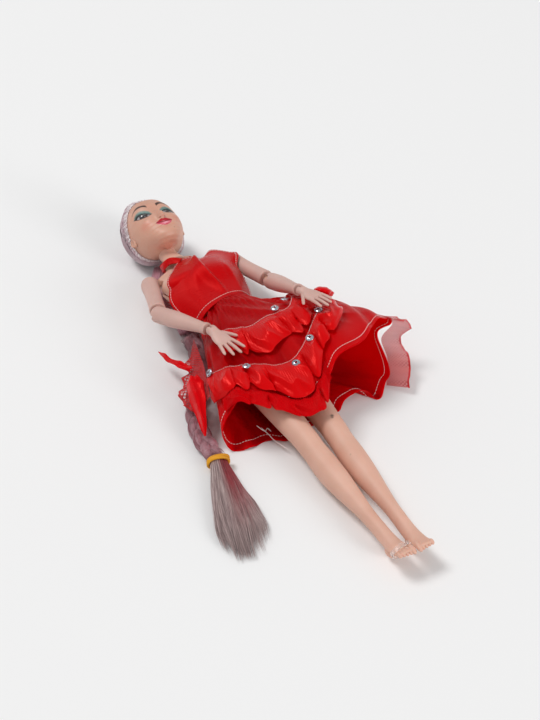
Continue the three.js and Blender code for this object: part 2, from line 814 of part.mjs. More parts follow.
// Radius of the head where the direction is `across` degrees from the nose and `up` degrees above the eyes
function headRadius(across, up) {
  const angle = THREE.MathUtils.degToRad(across);
  const ahead = Math.cos(angle);
  const lengthwise = tableAt(ahead > 0 ? frontShares : backShares, up);
  const sideways = tableAt(sideShares, up);
  const forward = Math.abs(ahead / lengthwise) ** headPowerShare;
  const aside = Math.abs(Math.sin(angle) / sideways) ** headPowerShare;
  let share = (forward + aside) ** (-1 / headPowerShare);
  for (const [a, u, wide, tall, height] of featureShares) {
    share += height * Math.exp(-(((across - a) / wide) ** 2) - ((up - u) / tall) ** 2);
  }
  return share * headHeight;
}

// The head's shape, grown or shrunk; its local Y runs to the crown and Z to the face.
// The grid is finer round the face than behind it
const faceCrowdShare = 0.6;
const browCrowdShare = 0.5;
const browShiftShare = 0.1;

function headForm(grow, columns, rows, crowd = 1) {
  const crowdRound = (share) => share + (crowd * faceCrowdShare * Math.sin(share * turn)) / turn;
  const crowdUp = (share) => share
    + (browCrowdShare * (Math.sin((share + browShiftShare) * turn) - Math.sin(browShiftShare * turn))) / turn;
  const placeAt = (across, up) => {
    const radius = headRadius(across, up) + (typeof grow === "function" ? grow(across, up) : grow);
    const [a, u] = [THREE.MathUtils.degToRad(across), THREE.MathUtils.degToRad(up)];
    return v3(Math.cos(u) * Math.sin(a), Math.sin(u), Math.cos(u) * Math.cos(a)).multiplyScalar(radius);
  };
  const rings = Array.from({ length: rows - 1 }, (_, r) => {
    const up = -90 + 180 * crowdUp((r + 1) / rows);
    return Array.from({ length: columns }, (__, c) => {
      const across = (crowdRound(c / columns + 0.5) - 0.5) * 360 - (c / columns >= 0.5 ? 360 : 0);
      return placeAt(across, up);
    });
  });
  return solidOf(skinRings(rings, [placeAt(0, -90), placeAt(0, 90)]));
}

const headAxisShares = {
  left: [0.996, 0.044, -0.077],
  crown: [-0.038, 0.996, 0.078],
  face: [0.08, -0.074, 0.994],
};
const headFrame = new THREE.Matrix4()
  .makeBasis(v3(...headAxisShares.left), v3(...headAxisShares.crown), v3(...headAxisShares.face))
  .setPosition(headSide, headReach, headLift);

const headSize = [headHeight, headHeight, headHeight];
const earPlaceShares = { side: 0.365, up: -0.06, front: -0.02 };

function earSolid(side, grow) {
  const ear = ballSolid(1, smallSides);
  const scale = new THREE.Matrix4().makeScale(
    earThickness + grow, earHeight / 2 + grow, earDepth / 2 + grow,
  );
  const place = fromShare([side * earPlaceShares.side, earPlaceShares.up, earPlaceShares.front], headSize);
  scale.setPosition(place);
  return moved(ear, scale);
}

const headGrid = { columns: 28, rows: 24 };
const hollowGrid = { columns: 12, rows: 10 };
const hairGrid = { columns: 18, rows: 14 };

function headSolid() {
  const skin = join(headForm(0, headGrid.columns, headGrid.rows), earSolid(1, 0), earSolid(-1, 0));
  const hollowTop = boxSolid(v3(-overrun, -headFloor, -overrun), v3(overrun, overrun, overrun));
  const hollow = headForm(-headWall, hollowGrid.columns, hollowGrid.rows).intersect(hollowTop);
  const hole = rodSolid(neckRadius + clearance, -neckSunk, knobSeat + clearance, limbSides);
  const neckHole = moved(hole, between(headFrame, neckFrame));
  const knobRoom = moved(turnedSolid(knobProfile(easyClearance), limbSides), between(headFrame, neckFrame));
  return cut(skin, hollow, neckHole, knobRoom);
}

// The hairline is a slanting plane from the top of the forehead, past the ears, to the nape
const hairlineShares = { up: 0.375, front: 0.225, slopeUp: 0.459, slopeBack: -0.888 };

// The hair is combed back, so it is thicker toward the back of the crown
const hairDepthShares = { behind: 0.55, high: 0.8, rise: 1.6, least: 0.1 };

function hairDepth(across, up) {
  const behind = (1 - Math.cos(THREE.MathUtils.degToRad(across))) / 2;
  const high = Math.sin(THREE.MathUtils.degToRad(Math.max(up, 0)));
  const back = Math.min(1, behind * hairDepthShares.behind + high * hairDepthShares.high);
  const crown = Math.min(1, high * hairDepthShares.rise + hairDepthShares.least);
  return scalpHair + (crownHair - scalpHair) * back * crown;
}

function hairCapSolid() {
  const cap = headForm(hairDepth, hairGrid.columns, hairGrid.rows, 0);
  const scalp = headForm(scalpGap, hairGrid.columns, hairGrid.rows, 0);
  const normal = v3(0, hairlineShares.slopeUp, hairlineShares.slopeBack);
  const point = v3(0, hairlineShares.up * headHeight, hairlineShares.front * headHeight);
  const plane = new THREE.Matrix4().makeBasis(
    v3(1, 0, 0), v3(0, 0, 0).crossVectors(normal, v3(1, 0, 0)), normal,
  ).setPosition(point);
  const behind = moved(boxSolid(v3(-overrun, -overrun, 0), v3(overrun, overrun, overrun)), plane);
  const neckRoom = moved(
    rodSolid(neckRadius + looseClearance, -overrun, neckRoomRise, limbSides), between(headFrame, neckFrame),
  );
  return cut(cap.intersect(behind), scalp, earSolid(1, clearance), earSolid(-1, clearance), neckRoom);
}

// Skirt

// The hem, once round from the front middle over the doll's left side, the floor and the right side.
// Each row is share of spread, share of length below the waist, share of rise.
const hemShares = [
  [-0.04, 0.998, 0.61], [0.11, 0.992, 0.67], [0.25, 0.93, 0.78], [0.37, 0.875, 0.89], [0.55, 0.855, 0.97],
  [0.66, 0.822, 0.97], [0.82, 0.715, 0.89], [0.985, 0.67, 0.78], [1.0, 0.68, 0.67], [0.94, 0.672, 0.61],
  [0.9, 0.674, 0.53], [0.88, 0.75, 0.39], [0.847, 0.866, 0.22], [0.806, 0.885, 0.11], [0.697, 0.95, 0],
  [0.62, 0.918, 0.08], [0.538, 0.897, 0.17], [0.426, 0.901, 0.08], [0.347, 0.931, 0], [0.173, 0.977, 0],
  [0.058, 0.968, 0], [-0.147, 1.0, 0], [-0.282, 0.95, 0], [-0.402, 0.96, 0], [-0.51, 0.946, 0],
  [-0.588, 0.913, 0.08], [-0.603, 0.89, 0.22], [-0.57, 0.872, 0.36], [-0.495, 0.843, 0.53],
  [-0.432, 0.838, 0.69], [-0.38, 0.864, 0.69], [-0.256, 0.906, 0.64], [-0.16, 0.95, 0.61],
];
// How the skirt swells between waist and hem, in the same shares and order
const swellShares = [
  [0.03, 0.37, 0.97], [0.576, 0.348, 1.0], [0.94, 0.293, 0.64], [0.697, 0.448, 0.055],
  [0.03, 0.448, -0.08], [-0.3, 0.448, -0.1], [-0.409, 0.348, 0.36], [-0.303, 0.359, 0.86],
];
const waistRingDrop = 0.2;

const skirtPoint = ([side, down, rise]) => v3(
  side * skirtSpread, waistHeight - down * skirtLength, rise * skirtRise,
);
const hemCurve = smoothCurve(hemShares.map(skirtPoint), true);
hemCurve.arcLengthDivisions = 400;
const swellCurve = smoothCurve(swellShares.map(skirtPoint), true);

// The forearms and hands rest in the skirt, so it dips under them
const dipSlopeShare = 1.08;
const dipBlendShare = 0.0556;
const armRestShares = { forearm: 0.75, palm: 1.5, crest: 2 };
const clothUnderArm = ruffleLift + clothThickness + armRestShares.crest * ruffleWave;

const armLines = Object.values(poseShares).flatMap((pose) => {
  const frames = armFrames(pose);
  const elbow = v3(0, 0, 0).setFromMatrixPosition(frames.forearm);
  const wrist = v3(0, 0, 0).setFromMatrixPosition(frames.hand);
  const tip = wrist.clone().addScaledVector(v3(...pose.hand).normalize(), handLength);
  return [
    {
      from: elbow,
      to: wrist,
      half: armRestShares.forearm * forearmRadius,
      below: forearmRadius + clothUnderArm,
    },
    {
      from: wrist,
      to: tip,
      half: palmHalfWidth,
      below: armRestShares.palm * palmHalfThickness + clothUnderArm,
    },
  ];
});

function underArms(point) {
  let limit = Infinity;
  for (const { from, to, half, below } of armLines) {
    const line = to.clone().sub(from).setZ(0);
    const share = THREE.MathUtils.clamp(point.clone().sub(from).setZ(0).dot(line) / line.lengthSq(), 0, 1);
    const near = from.clone().lerp(to, share);
    const away = Math.max(Math.hypot(point.x - near.x, point.y - near.y) - half, 0);
    limit = Math.min(limit, near.z - below + (dipSlopeShare * away * away) / skirtRise);
  }
  const over = point.z - limit;
  return point.z - (over + Math.hypot(over, dipBlendShare * skirtRise)) / 2;
}

// A point of the skirt: `round` goes once round from the front middle, `down` from waist 0 to hem 1
function skirtSurface(round, down) {
  const share = ((round % 1) + 1) % 1;
  const angle = quarterTurn - share * turn;
  const squared = (value) => Math.sign(value) * Math.abs(value) ** (2 / torsoPowerShare);
  const waist = v3(
    waistSide + waistHalfWidth * squared(Math.cos(angle)),
    waistHeight,
    jointLine - waistRingDrop + waistHalfDepth * squared(Math.sin(angle)),
  );
  const swell = swellCurve.getPoint(share);
  const hem = hemCurve.getPointAt(share);
  const up = 1 - down;
  const point = waist.multiplyScalar(up * up)
    .addScaledVector(swell, 2 * down * up)
    .addScaledVector(hem, down * down);
  point.z = Math.max(underArms(point), 0);
  return point;
}

const probeShare = 0.002;

// The way out of the skirt at a point
function skirtNormal(round, down) {
  const along = skirtSurface(round + probeShare, down).sub(skirtSurface(round - probeShare, down));
  const across = skirtSurface(round, down + probeShare).sub(skirtSurface(round, down - probeShare));
  return v3(0, 0, 0).crossVectors(across, along).normalize();
}

function offSkirt(round, down, off) {
  return skirtSurface(round, down).addScaledVector(skirtNormal(round, down), off);
}

function gridOf(rows, columns, pointAt) {
  return Array.from({ length: rows }, (_, r) => Array.from({ length: columns }, (__, c) => pointAt(r, c)));
}

function underskirtGeometry() {
  const [rounds, downs] = [52, 7];
  const at = (off) => gridOf(rounds, downs, (r, c) => offSkirt(r / rounds, c / (downs - 1), off));
  return skinSheet(at(0), at(-clothThickness), true);
}

const tierShares = { deepen: 0.1, deepenTurns: 0.5, deepenFrom: 1, drift: 0.6, driftTurns: 3 };

// A gathered tier sewn on the front of the skirt: its top line wanders, and its free edge waves
function tierShape({ from, to, topShares, depthShare, waves, lift, wave }) {
  const curve = smoothCurve(topShares.map(([at, down]) => v3(at, down, 0)));
  const downAt = (share, fall) => {
    const angle = share * waves * turn * tierShares.deepenTurns + tierShares.deepenFrom;
    return curve.getPoint(share).y + depthShare * fall * (1 + tierShares.deepen * Math.sin(angle));
  };
  const liftAt = (share, fall) => {
    const drift = tierShares.drift * Math.sin(share * tierShares.driftTurns * turn);
    return lift + wave * fall * (1 + Math.sin(share * waves * turn + drift));
  };
  const heightAt = (round, down) => {
    const share = (round - from) / (to - from);
    return liftAt(share, (down - downAt(share, 0)) / depthShare);
  };
  return { downAt, liftAt, heightAt };
}

function ruffleGeometry(tier) {
  const { from, to, steps, columns, thickness } = tier;
  const { downAt, liftAt } = tierShape(tier);
  const at = (off) => gridOf(steps + 1, columns, (r, c) => {
    const share = r / steps;
    const fall = c / (columns - 1);
    return offSkirt(from + (to - from) * share, downAt(share, fall), liftAt(share, fall) + off);
  });
  return skinSheet(at(thickness), at(0), false);
}

// Rounds and heights of each tier, as shares of the way round and down the skirt
const tiers = {
  upper_ruffle: {
    from: -0.12, to: 0.19, depthShare: 0.18, waves: 9, steps: 45, columns: 3,
    lift: ruffleLift, thickness: clothThickness, wave: ruffleWave,
    topShares: [[0, 0.4], [0.12, 0.4], [0.25, 0.46], [0.38, 0.44], [0.5, 0.46], [0.65, 0.36], [1, 0.24]],
  },
  lower_ruffle: {
    from: -0.17, to: 0.18, depthShare: 0.15, waves: 10, steps: 50, columns: 4,
    lift: lowerRuffleLift, thickness: clothThickness, wave: ruffleWave,
    topShares: [
      [0, 0.65], [0.18, 0.75], [0.33, 0.74], [0.45, 0.77], [0.55, 0.78], [0.7, 0.73], [0.83, 0.64], [1, 0.54],
    ],
  },
};
const sheerTier = {
  from: -0.14, to: 0.08, depthShare: 0.1, waves: 5, steps: 28, columns: 3,
  lift: ruffleLift, thickness: netThickness, wave: netWave,
  topShares: [[0, 0.88], [0.18, 0.94], [0.41, 0.94], [0.64, 0.97], [0.77, 0.97], [1, 0.93]],
};

const stripProbeShare = 0.01;
const netGrid = { steps: 18, columns: 2, waves: 3 };
const ribbonGrid = { steps: 10, columns: 2, waves: 1 };

// Free-standing strips of net and ribbon between two edges
function stripGeometry(edgeA, edgeB, { steps, columns, waves }, thickness, wave) {
  const [a, b] = [edgeA, edgeB].map((edge) => smoothCurve(edge));
  const surface = (share, across) => a.getPoint(share).lerp(b.getPoint(share), across);
  const normalAt = (share, across) => {
    const low = Math.max(share - stripProbeShare, 0);
    const along = surface(Math.min(share + stripProbeShare, 1), across).sub(surface(low, across));
    const side = surface(share, 1).sub(surface(share, 0));
    return along.cross(side).normalize();
  };
  const at = (off) => gridOf(steps + 1, columns + 1, (r, c) => {
    const [share, across] = [r / steps, c / columns];
    const ripple = wave * across * Math.sin(share * waves * turn);
    return surface(share, across).addScaledVector(normalAt(share, across), off + ripple);
  });
  return skinSheet(at(thickness / 2), at(-thickness / 2), false);
}

const skirtSize = [skirtSpread, skirtLength, skirtRise];
const waistUpShare = 0.3923;
const besideSkirt = ([side, up, rise]) => v3(
  side * skirtSpread, waistHeight + (up - waistUpShare) * skirtLength, rise * skirtRise,
);
const netShares = {
  net_flounce_right: {
    sewn: [[-0.37, 0.2, 0.46], [-0.44, -0.03, 0.5], [-0.5, -0.17, 0.53], [-0.56, -0.3, 0.52]],
    free: [[-0.43, 0.17, 0.24], [-0.56, 0.02, 0.24], [-0.7, -0.13, 0.24], [-0.68, -0.3, 0.27]],
  },
};
// The left flounce is sewn along the hem; its free edge stands off from the hem by these shares
const hemNetRoundShares = [0.262, 0.3, 0.34, 0.38, 0.43];
const hemNetReachShares = [
  [0.11, -0.02, -0.04], [0.13, -0.05, -0.06], [0.13, -0.05, 0], [0.14, -0.07, 0.03], [0.12, -0.1, 0.06],
];

function hemNetGeometry() {
  const sewn = hemNetRoundShares.map((round) => offSkirt(round, 1, hemNetLift));
  const free = sewn.map((place, i) => place.clone().add(fromShare(hemNetReachShares[i], skirtSize)));
  return stripGeometry(sewn, free, netGrid, netThickness, netWave);
}

const ribbonShares = {
  ribbon_right_upper: {
    sewn: [[-0.5, 0.02, 0.41], [-0.55, 0.13, 0.34], [-0.62, 0.26, 0.28]],
    free: [[-0.56, -0.03, 0.36], [-0.61, 0.1, 0.31], [-0.64, 0.255, 0.26]],
  },
  ribbon_right_lower: {
    sewn: [[-0.56, -0.2, 0.53], [-0.61, -0.32, 0.46], [-0.7, -0.45, 0.3]],
    free: [[-0.65, -0.18, 0.44], [-0.7, -0.3, 0.38], [-0.73, -0.44, 0.28]],
  },
};

// A bow of two soft loops and a knot, by the doll's left hand
const bowPlaceShare = [0.225, 0.47];
const bowLoopHalf = { long: 5.4, tall: 3.4, deep: 2 };
const bowKnotHalf = 1.8;
const bowApartShare = 0.9;
const bowLieShare = [0.75, -0.6, 0];

function bowSolid() {
  const loop = (side) => {
    const scale = new THREE.Matrix4().makeScale(bowLoopHalf.long, bowLoopHalf.tall, bowLoopHalf.deep);
    scale.setPosition(side * bowApartShare * bowLoopHalf.long, 0, 0);
    return moved(ballSolid(1, smallSides), scale);
  };
  const knot = ballSolid(bowKnotHalf, fingerSides);
  const [round, down] = bowPlaceShare;
  const rest = offSkirt(round, down, bowLoopHalf.deep + clearance);
  const place = limbFrame(rest, v3(...bowLieShare), skirtNormal(round, down));
  return moved(join(loop(-1), loop(1), knot), place);
}

// Flat rings with a round hole, set along the two gathered lines.
// Each row is way round, way down and its tier
const sequinShares = [
  [-0.158, 0.69, "lower_ruffle"], [-0.069, 0.79, "lower_ruffle"], [0.025, 0.83, "lower_ruffle"],
  [0.075, 0.78, "lower_ruffle"], [0.128, 0.66, "lower_ruffle"], [0.061, 0.44, "upper_ruffle"],
  [0.108, 0.38, "upper_ruffle"],
];

const sequinTurnShare = [1, 0.2, 0];
const sequinReachShares = [[0, 0], [0.007, 0], [-0.007, 0], [0, 0.022], [0, -0.022]];

function sequinPiece([round, down, tierName], number) {
  const half = sequinThickness / 2;
  const ring = turnedSolid([
    [0, -half], [sequinRadius, -half], [sequinRadius, 0], [sequinRadius - half, half], [0, half],
  ], smallSides);
  const hole = rodSolid(sequinHole, -overrun, overrun, fingerSides);
  const { heightAt } = tierShape(tiers[tierName]);
  const normal = skirtNormal(round, down);
  const middle = skirtSurface(round, down);
  let lift = 0;
  for (const [aside, along] of sequinReachShares) {
    const top = offSkirt(round + aside, down + along, heightAt(round + aside, down + along) + clothThickness);
    lift = Math.max(lift, top.sub(middle).dot(normal));
  }
  const place = middle.addScaledVector(normal, lift + clearance + half);
  const frame = limbFrame(place, normal.clone().negate(), v3(...sequinTurnShare));
  return piece(`sequin_${number + 1}`, cut(ring, hole), "sequin", frame);
}

// Bodice

// Rows from the waist seam up to the neckline.
// Each point is share of half width, height and front of the torso
const bodiceShares = [
  [[-0.6, 0.43, -0.02], [-0.44, 0.412, 0.62], [0.05, 0.411, 0.76], [0.5, 0.414, 0.62], [0.8, 0.42, 0.12]],
  [[-0.76, 0.53, -0.15], [-0.56, 0.52, 0.74], [0.02, 0.52, 1.0], [0.6, 0.51, 0.86], [0.92, 0.5, 0.12]],
  [[-0.86, 0.64, -0.1], [-0.58, 0.63, 1.02], [0, 0.64, 1.22], [0.62, 0.625, 1.08], [1.0, 0.6, 0.2]],
  [[-0.74, 0.735, 0.15], [-0.42, 0.735, 1.0], [0.08, 0.735, 1.1], [0.6, 0.73, 0.98], [1.06, 0.68, 0.34]],
  [[-0.52, 0.82, 0.4], [-0.22, 0.815, 0.84], [0.18, 0.79, 0.9], [0.66, 0.82, 0.76], [1.1, 0.735, 0.44]],
  [[-0.27, 0.905, 0.5], [0.03, 0.86, 0.74], [0.24, 0.79, 0.86], [0.67, 0.875, 0.68], [1.13, 0.785, 0.5]],
];

function bodiceFront() {
  const [across, upward] = [14, 10];
  const lines = bodiceShares.map((row) => smoothCurve(row.map(([side, height, front]) => (
    v3(side * torsoHalfWidth, height * torsoLength, jointLine + front * torsoHalfDepth)
  ))));
  const surface = (a, u) => {
    const column = smoothCurve(lines.map((line) => line.getPoint(a)));
    return column.getPoint(u);
  };
  const bound = (value) => Math.min(Math.max(value, 0), 1);
  const normalAt = (a, u) => {
    const probe = stripProbeShare;
    const along = surface(bound(a + probe), u).sub(surface(bound(a - probe), u));
    const side = surface(a, bound(u + probe)).sub(surface(a, bound(u - probe)));
    return along.cross(side).normalize();
  };
  const at = (off) => gridOf(across + 1, upward + 1, (r, c) => {
    const [a, u] = [r / across, c / upward];
    return surface(a, u).addScaledVector(normalAt(a, u), off);
  });
  const cloth = solidOf(skinSheet(at(clothThickness), at(0), false));
  const shoulderRoom = moved(join(
    ballSolid(shoulderBall + looseClearance),
    rodSolid(shoulderBall + looseClearance, -upperArmLength / 2, 0, limbSides),
  ), armFrames(poseShares.left).upperArm);
  return cut(cloth, torsoLoft(clearance), shoulderRoom);
}

// The back of the bodice lies flat in two panels that meet at a stitched placket
const backTopShare = 0.72;
const backSideShare = 0.28;

function backPanels() {
  const around = cut(torsoLoft(clearance + clothThickness, 5, 10), torsoLoft(clearance));
  const low = jointLine - backSideShare * torsoHalfDepth;
  const bottom = waistHeight + clearance;
  const top = backTopShare * torsoLength;
  const panel = (from, to) => around.intersect(boxSolid(v3(from, bottom, -overrun), v3(to, top, low)));
  return {
    bodice_back_right: panel(-overrun, -placketHalfWidth - halfClearance),
    bodice_back_placket: panel(halfClearance - placketHalfWidth, placketHalfWidth - halfClearance),
    bodice_back_left: panel(placketHalfWidth + halfClearance, overrun),
  };
}

// The neck strap is a band round the root of the neck, higher at the nape than in front
const strapTiltShare = 0.35;

function strapSolid() {
  const layer = (grow) => join(
    torsoLoft(grow),
    moved(rodSolid(neckRadius + grow, -neckSunk, neckInHead, limbSides), neckFrame),
  );
  const tilted = limbFrame(v3(neckRoot.x, strapHeight, neckRoot.z), v3(0, -1, strapTiltShare), v3(0, 0, 1));
  const slab = moved(
    boxSolid(v3(-overrun, -strapWidth / 2, -overrun), v3(overrun, strapWidth / 2, overrun)), tilted,
  );
  return cut(layer(clearance + clothThickness), layer(clearance)).intersect(slab);
}

// Hair behind the head: a loose hank, the braid with its elastic, and the brush of hair past it

// Places along the floor, as shares of the braid's length and of its half depth
const ponytailShares = [
  [-0.05, 0.65, 1.1], [-0.087, 0.61, 1.06], [-0.133, 0.547, 1.06], [-0.167, 0.467, 1.06],
  [-0.177, 0.38, 1.06], [-0.16, 0.307, 1.06], [-0.137, 0.25, 1.06],
];
const braidShares = [
  [-0.133, 0.236, 1.06], [-0.133, 0.16, 1.06], [-0.167, 0.067, 1.06], [-0.223, -0.027, 1.06],
  [-0.273, -0.12, 1.1], [-0.303, -0.207, 1.18], [-0.312, -0.287, 1.3], [-0.308, -0.353, 1.42],
];
const napeUpShare = 0.61;
const hairPlace = ([side, up, rise]) => v3(
  side * braidLength, neckRoot.y + (up - napeUpShare) * braidLength, rise * braidHalfDepth,
);
const tailTurnShare = [-0.14, -0.985, -0.01];

function hankSolid(route, steps, widthAt, depthAt, sides) {
  const curve = smoothCurve(route.map(hairPlace));
  const up = v3(0, 0, 1);
  const rings = Array.from({ length: steps + 1 }, (_, i) => {
    const share = i / steps;
    const centre = curve.getPointAt(share);
    const ahead = curve.getTangentAt(share);
    ahead.z = 0;
    const side = v3(0, 0, 0).crossVectors(ahead.normalize(), up);
    return Array.from({ length: sides }, (__, s) => {
      const angle = (turn * s) / sides;
      return centre.clone()
        .addScaledVector(side, widthAt(share) * Math.cos(angle))
        .addScaledVector(up, depthAt(share) * Math.sin(angle));
    });
  });
  return solidOf(skinRings(rings));
}

const lobeCount = 7;
const lobeShares = { least: 0.86, swell: 0.14, lead: 0.07 };
const lobe = (share) => (
  lobeShares.least + lobeShares.swell * Math.abs(Math.sin((share * lobeCount * turn) / 2))
);
const braidEnd = hairPlace(braidShares[braidShares.length - 1]);
const tailDirection = v3(...tailTurnShare).normalize();

const tailPowerShare = 2.3;
// Each row: distance down the brush, half width and half depth
const tailShares = [
  [0, 0.44, 1], [0.12, 0.52, 0.98], [0.3, 0.68, 0.9], [0.55, 0.88, 0.75], [0.8, 1, 0.6], [1, 0.86, 0.36],
];

function tailSolid() {
  const start = braidEnd.clone().addScaledVector(tailDirection, tailGap);
  const place = limbFrame(start, tailDirection, v3(0, 0, 1));
  const rings = tailShares.map(([down, width, depth]) => ovalRing(
    v3(0, -down * tailLength, depth * tailHalfDepth - tailHalfDepth),
    width * tailHalfWidth, depth * tailHalfDepth, tailPowerShare, limbSides,
  ));
  return moved(solidOf(skinRings(rings)), place);
}

const tieShares = { set: 2, band: 1.2, edge: 0.6, across: 0.5 };

// The elastic: a round band round the neck of the brush, just past the end of the braid
function tieSolid() {
  const band = tieShares.band * tieRadius;
  const edge = clearance + tieShares.edge * tieRadius;
  const middle = braidEnd.clone().addScaledVector(tailDirection, tieShares.set * tieRadius);
  const place = limbFrame(middle, tailDirection, v3(0, 0, 1));
  const halfWidth = tieShares.across * tailHalfWidth;
  const ring = (grow, y) => (
    ovalRing(v3(0, y, 0), halfWidth + grow, tailHalfDepth + grow, tailPowerShare, limbSides)
  );
  const outer = skinRings([ring(edge, -band), ring(clearance + tieRadius, 0), ring(edge, band)]);
  const inner = skinRings([ring(clearance, -overrun), ring(clearance, overrun)]);
  return moved(cut(solidOf(outer), solidOf(inner)), place);
}

// Assembly
const torso = torsoHalves();
const body = new THREE.Group();
body.add(
  piece("torso_front", torso.front, "bodyPlastic"),
  piece("torso_back", torso.back, "bodyPlastic"),
  piece("neck_knob", turnedSolid(knobProfile(0)), "jointPlastic", neckFrame),
  piece("hip_axle", hipAxle(0), "jointPlastic"),
);

const head = new THREE.Group();
head.add(
  piece("head_shell", headSolid(), "headVinyl", headFrame),
  piece("hair_cap", hairCapSolid(), "hair", headFrame),
);

const legs = new THREE.Group();
for (const [side, pose] of Object.entries(poseShares)) {
  legs.add(piece(`${side}_leg`, legSolid(pose), "legVinyl", legFrame(pose)));
}
legs.add(piece("clear_foot_band", footBand(), "clearPlastic", legFrame(poseShares.right)));

const dress = new THREE.Group();
dress.add(piece("bodice_front", bodiceFront(), "satin"));
for (const [name, panel] of Object.entries(backPanels())) dress.add(piece(name, panel, "satin"));
dress.add(piece("halter_strap", strapSolid(), "satin"));
dress.add(piece("underskirt", underskirtGeometry(), "satin"));
for (const [name, tier] of Object.entries(tiers)) dress.add(piece(name, ruffleGeometry(tier), "satin"));
dress.add(piece("sheer_ruffle", ruffleGeometry(sheerTier), "net"));
for (const [name, { sewn, free }] of Object.entries(netShares)) {
  const [a, b] = [sewn, free].map((edge) => edge.map(besideSkirt));
  dress.add(piece(name, stripGeometry(a, b, netGrid, netThickness, netWave), "net"));
}
dress.add(piece("net_flounce_left", hemNetGeometry(), "net"));
for (const [name, { sewn, free }] of Object.entries(ribbonShares)) {
  const [a, b] = [sewn, free].map((edge) => edge.map(besideSkirt));
  dress.add(piece(name, stripGeometry(a, b, ribbonGrid, ribbonThickness, 0), "ribbon"));
}
dress.add(piece("bow_left", bowSolid(), "ribbon"));
sequinShares.forEach((place, number) => dress.add(sequinPiece(place, number)));

const hair = new THREE.Group();
hair.add(
  piece("ponytail", hankSolid(
    ponytailShares, ponytailStepCount, () => ponytailHalfWidth, () => ponytailHalfDepth, hankSides,
  ), "hair"),
  piece("braid", hankSolid(
    braidShares,
    braidStepCount,
    (share) => braidHalfWidth * lobe(share),
    (share) => braidHalfDepth * lobe(share + lobeShares.lead),
    hankSides,
  ), "hair"),
  piece("hair_tie", tieSolid(), "elastic"),
  piece("hair_tail", tailSolid(), "hair"),
);

const doll = new THREE.Group();
doll.add(body, head, legs, dress, hair, armPieces("right"), armPieces("left"));

export default doll;
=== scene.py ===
import json
import math
from functools import partial

import bmesh
import bpy
import numpy as np
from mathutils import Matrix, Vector


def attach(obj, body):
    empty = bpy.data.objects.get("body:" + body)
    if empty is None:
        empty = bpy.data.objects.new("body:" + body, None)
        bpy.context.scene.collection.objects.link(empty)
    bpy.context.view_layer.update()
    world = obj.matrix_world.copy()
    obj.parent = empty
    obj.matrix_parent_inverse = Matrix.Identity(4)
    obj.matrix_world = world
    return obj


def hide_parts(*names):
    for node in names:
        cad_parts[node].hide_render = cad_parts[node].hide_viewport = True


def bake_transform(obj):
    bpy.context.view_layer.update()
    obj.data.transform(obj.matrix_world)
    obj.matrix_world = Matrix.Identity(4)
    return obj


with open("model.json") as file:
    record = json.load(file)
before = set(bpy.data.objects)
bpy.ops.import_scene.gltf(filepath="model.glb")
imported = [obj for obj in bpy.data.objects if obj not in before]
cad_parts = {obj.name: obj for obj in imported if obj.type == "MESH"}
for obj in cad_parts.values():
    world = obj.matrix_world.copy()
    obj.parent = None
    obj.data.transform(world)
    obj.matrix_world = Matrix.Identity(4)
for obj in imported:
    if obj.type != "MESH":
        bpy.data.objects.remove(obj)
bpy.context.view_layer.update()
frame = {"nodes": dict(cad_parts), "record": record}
MM = 0.001
TURN = 2 * np.pi
NODE_BODY = {
    node: body
    for body, nodes in frame["record"]["behaviour"]["bodies"].items()
    for node in nodes
}
rng = np.random.default_rng(7)

# %% [markdown]
# The camera stands at the photograph's angle, 600 mm from the middle of the doll.
# %% Camera
AZIMUTH, ELEVATION, DISTANCE = math.radians(-28), math.radians(41), 600
LOOK_AT = Vector((2.98, -13.4, 15))
FOCAL_LENGTH, SENSOR_WIDTH = 59.81, 36
back = Vector((
    math.sin(AZIMUTH) * math.cos(ELEVATION),
    -math.cos(AZIMUTH) * math.cos(ELEVATION),
    math.sin(ELEVATION),
))
lens = bpy.data.cameras.new("camera")
lens.lens, lens.sensor_width = FOCAL_LENGTH, SENSOR_WIDTH
lens.clip_start, lens.clip_end = 0.01, 20
camera = bpy.data.objects.new("camera", lens)
bpy.context.scene.collection.objects.link(camera)
camera.rotation_mode = "QUATERNION"
camera.location = LOOK_AT * MM + back * DISTANCE * MM
camera.rotation_quaternion = (-back).to_track_quat("-Z", "Y")
bpy.context.scene.camera = camera
print("camera at", [round(x, 3) for x in camera.location])

# %% [markdown]
# Vector helpers: unit vectors, a frame at a joint, and smooth curves through a few points.
# %% Vectors and curves
UP = np.array([0.0, 0.0, 1.0])


def unit(v):
    """A vector divided by its own length."""
    v = np.asarray(v, float)
    return v / np.maximum(np.linalg.norm(v, axis=-1, keepdims=True), 1e-9)


def limb_axes(down, hint):
    """Three axes as rows: Y runs back up the limb, Z leans to the hint, X is Y cross Z."""
    y = -unit(down)
    z = unit(np.asarray(hint, float) - np.dot(hint, y) * y)
    return np.array([np.cross(y, z), y, z])


def placed(points, axes, origin):
    """Local points laid out along three axes from an origin."""
    return points @ np.asarray(axes) + np.asarray(origin, float)


def spline(points, closed=False):
    """A Catmull-Rom curve: between two points it is the cubic whose slopes come from their neighbours."""
    p = np.asarray(points, float)
    n = len(p)
    if closed:
        full = np.concatenate([p[-1:], p, p[:2]])
    else:
        full = np.concatenate([2 * p[:1] - p[1:2], p, 2 * p[-1:] - p[-2:-1]])

    def at(t):
        s = (np.asarray(t, float) % 1) * n if closed else np.clip(t, 0, 1) * (n - 1)
        i = np.minimum(s.astype(int), n - 1 if closed else n - 2)
        f = (s - i).reshape(s.shape + (1,) * (full.ndim - 1))
        a, b, c, d = (full[i + k] for k in range(4))
        return 0.5 * (2 * b + (c - a) * f + (2 * a - 5 * b + 4 * c - d) * f**2 + (3 * b - a - 3 * c + d) * f**3)

    return at


def distances(points):
    """How far along a line of points each of them lies."""
    return np.concatenate([[0], np.cumsum(np.linalg.norm(np.diff(points, axis=0), axis=1))])


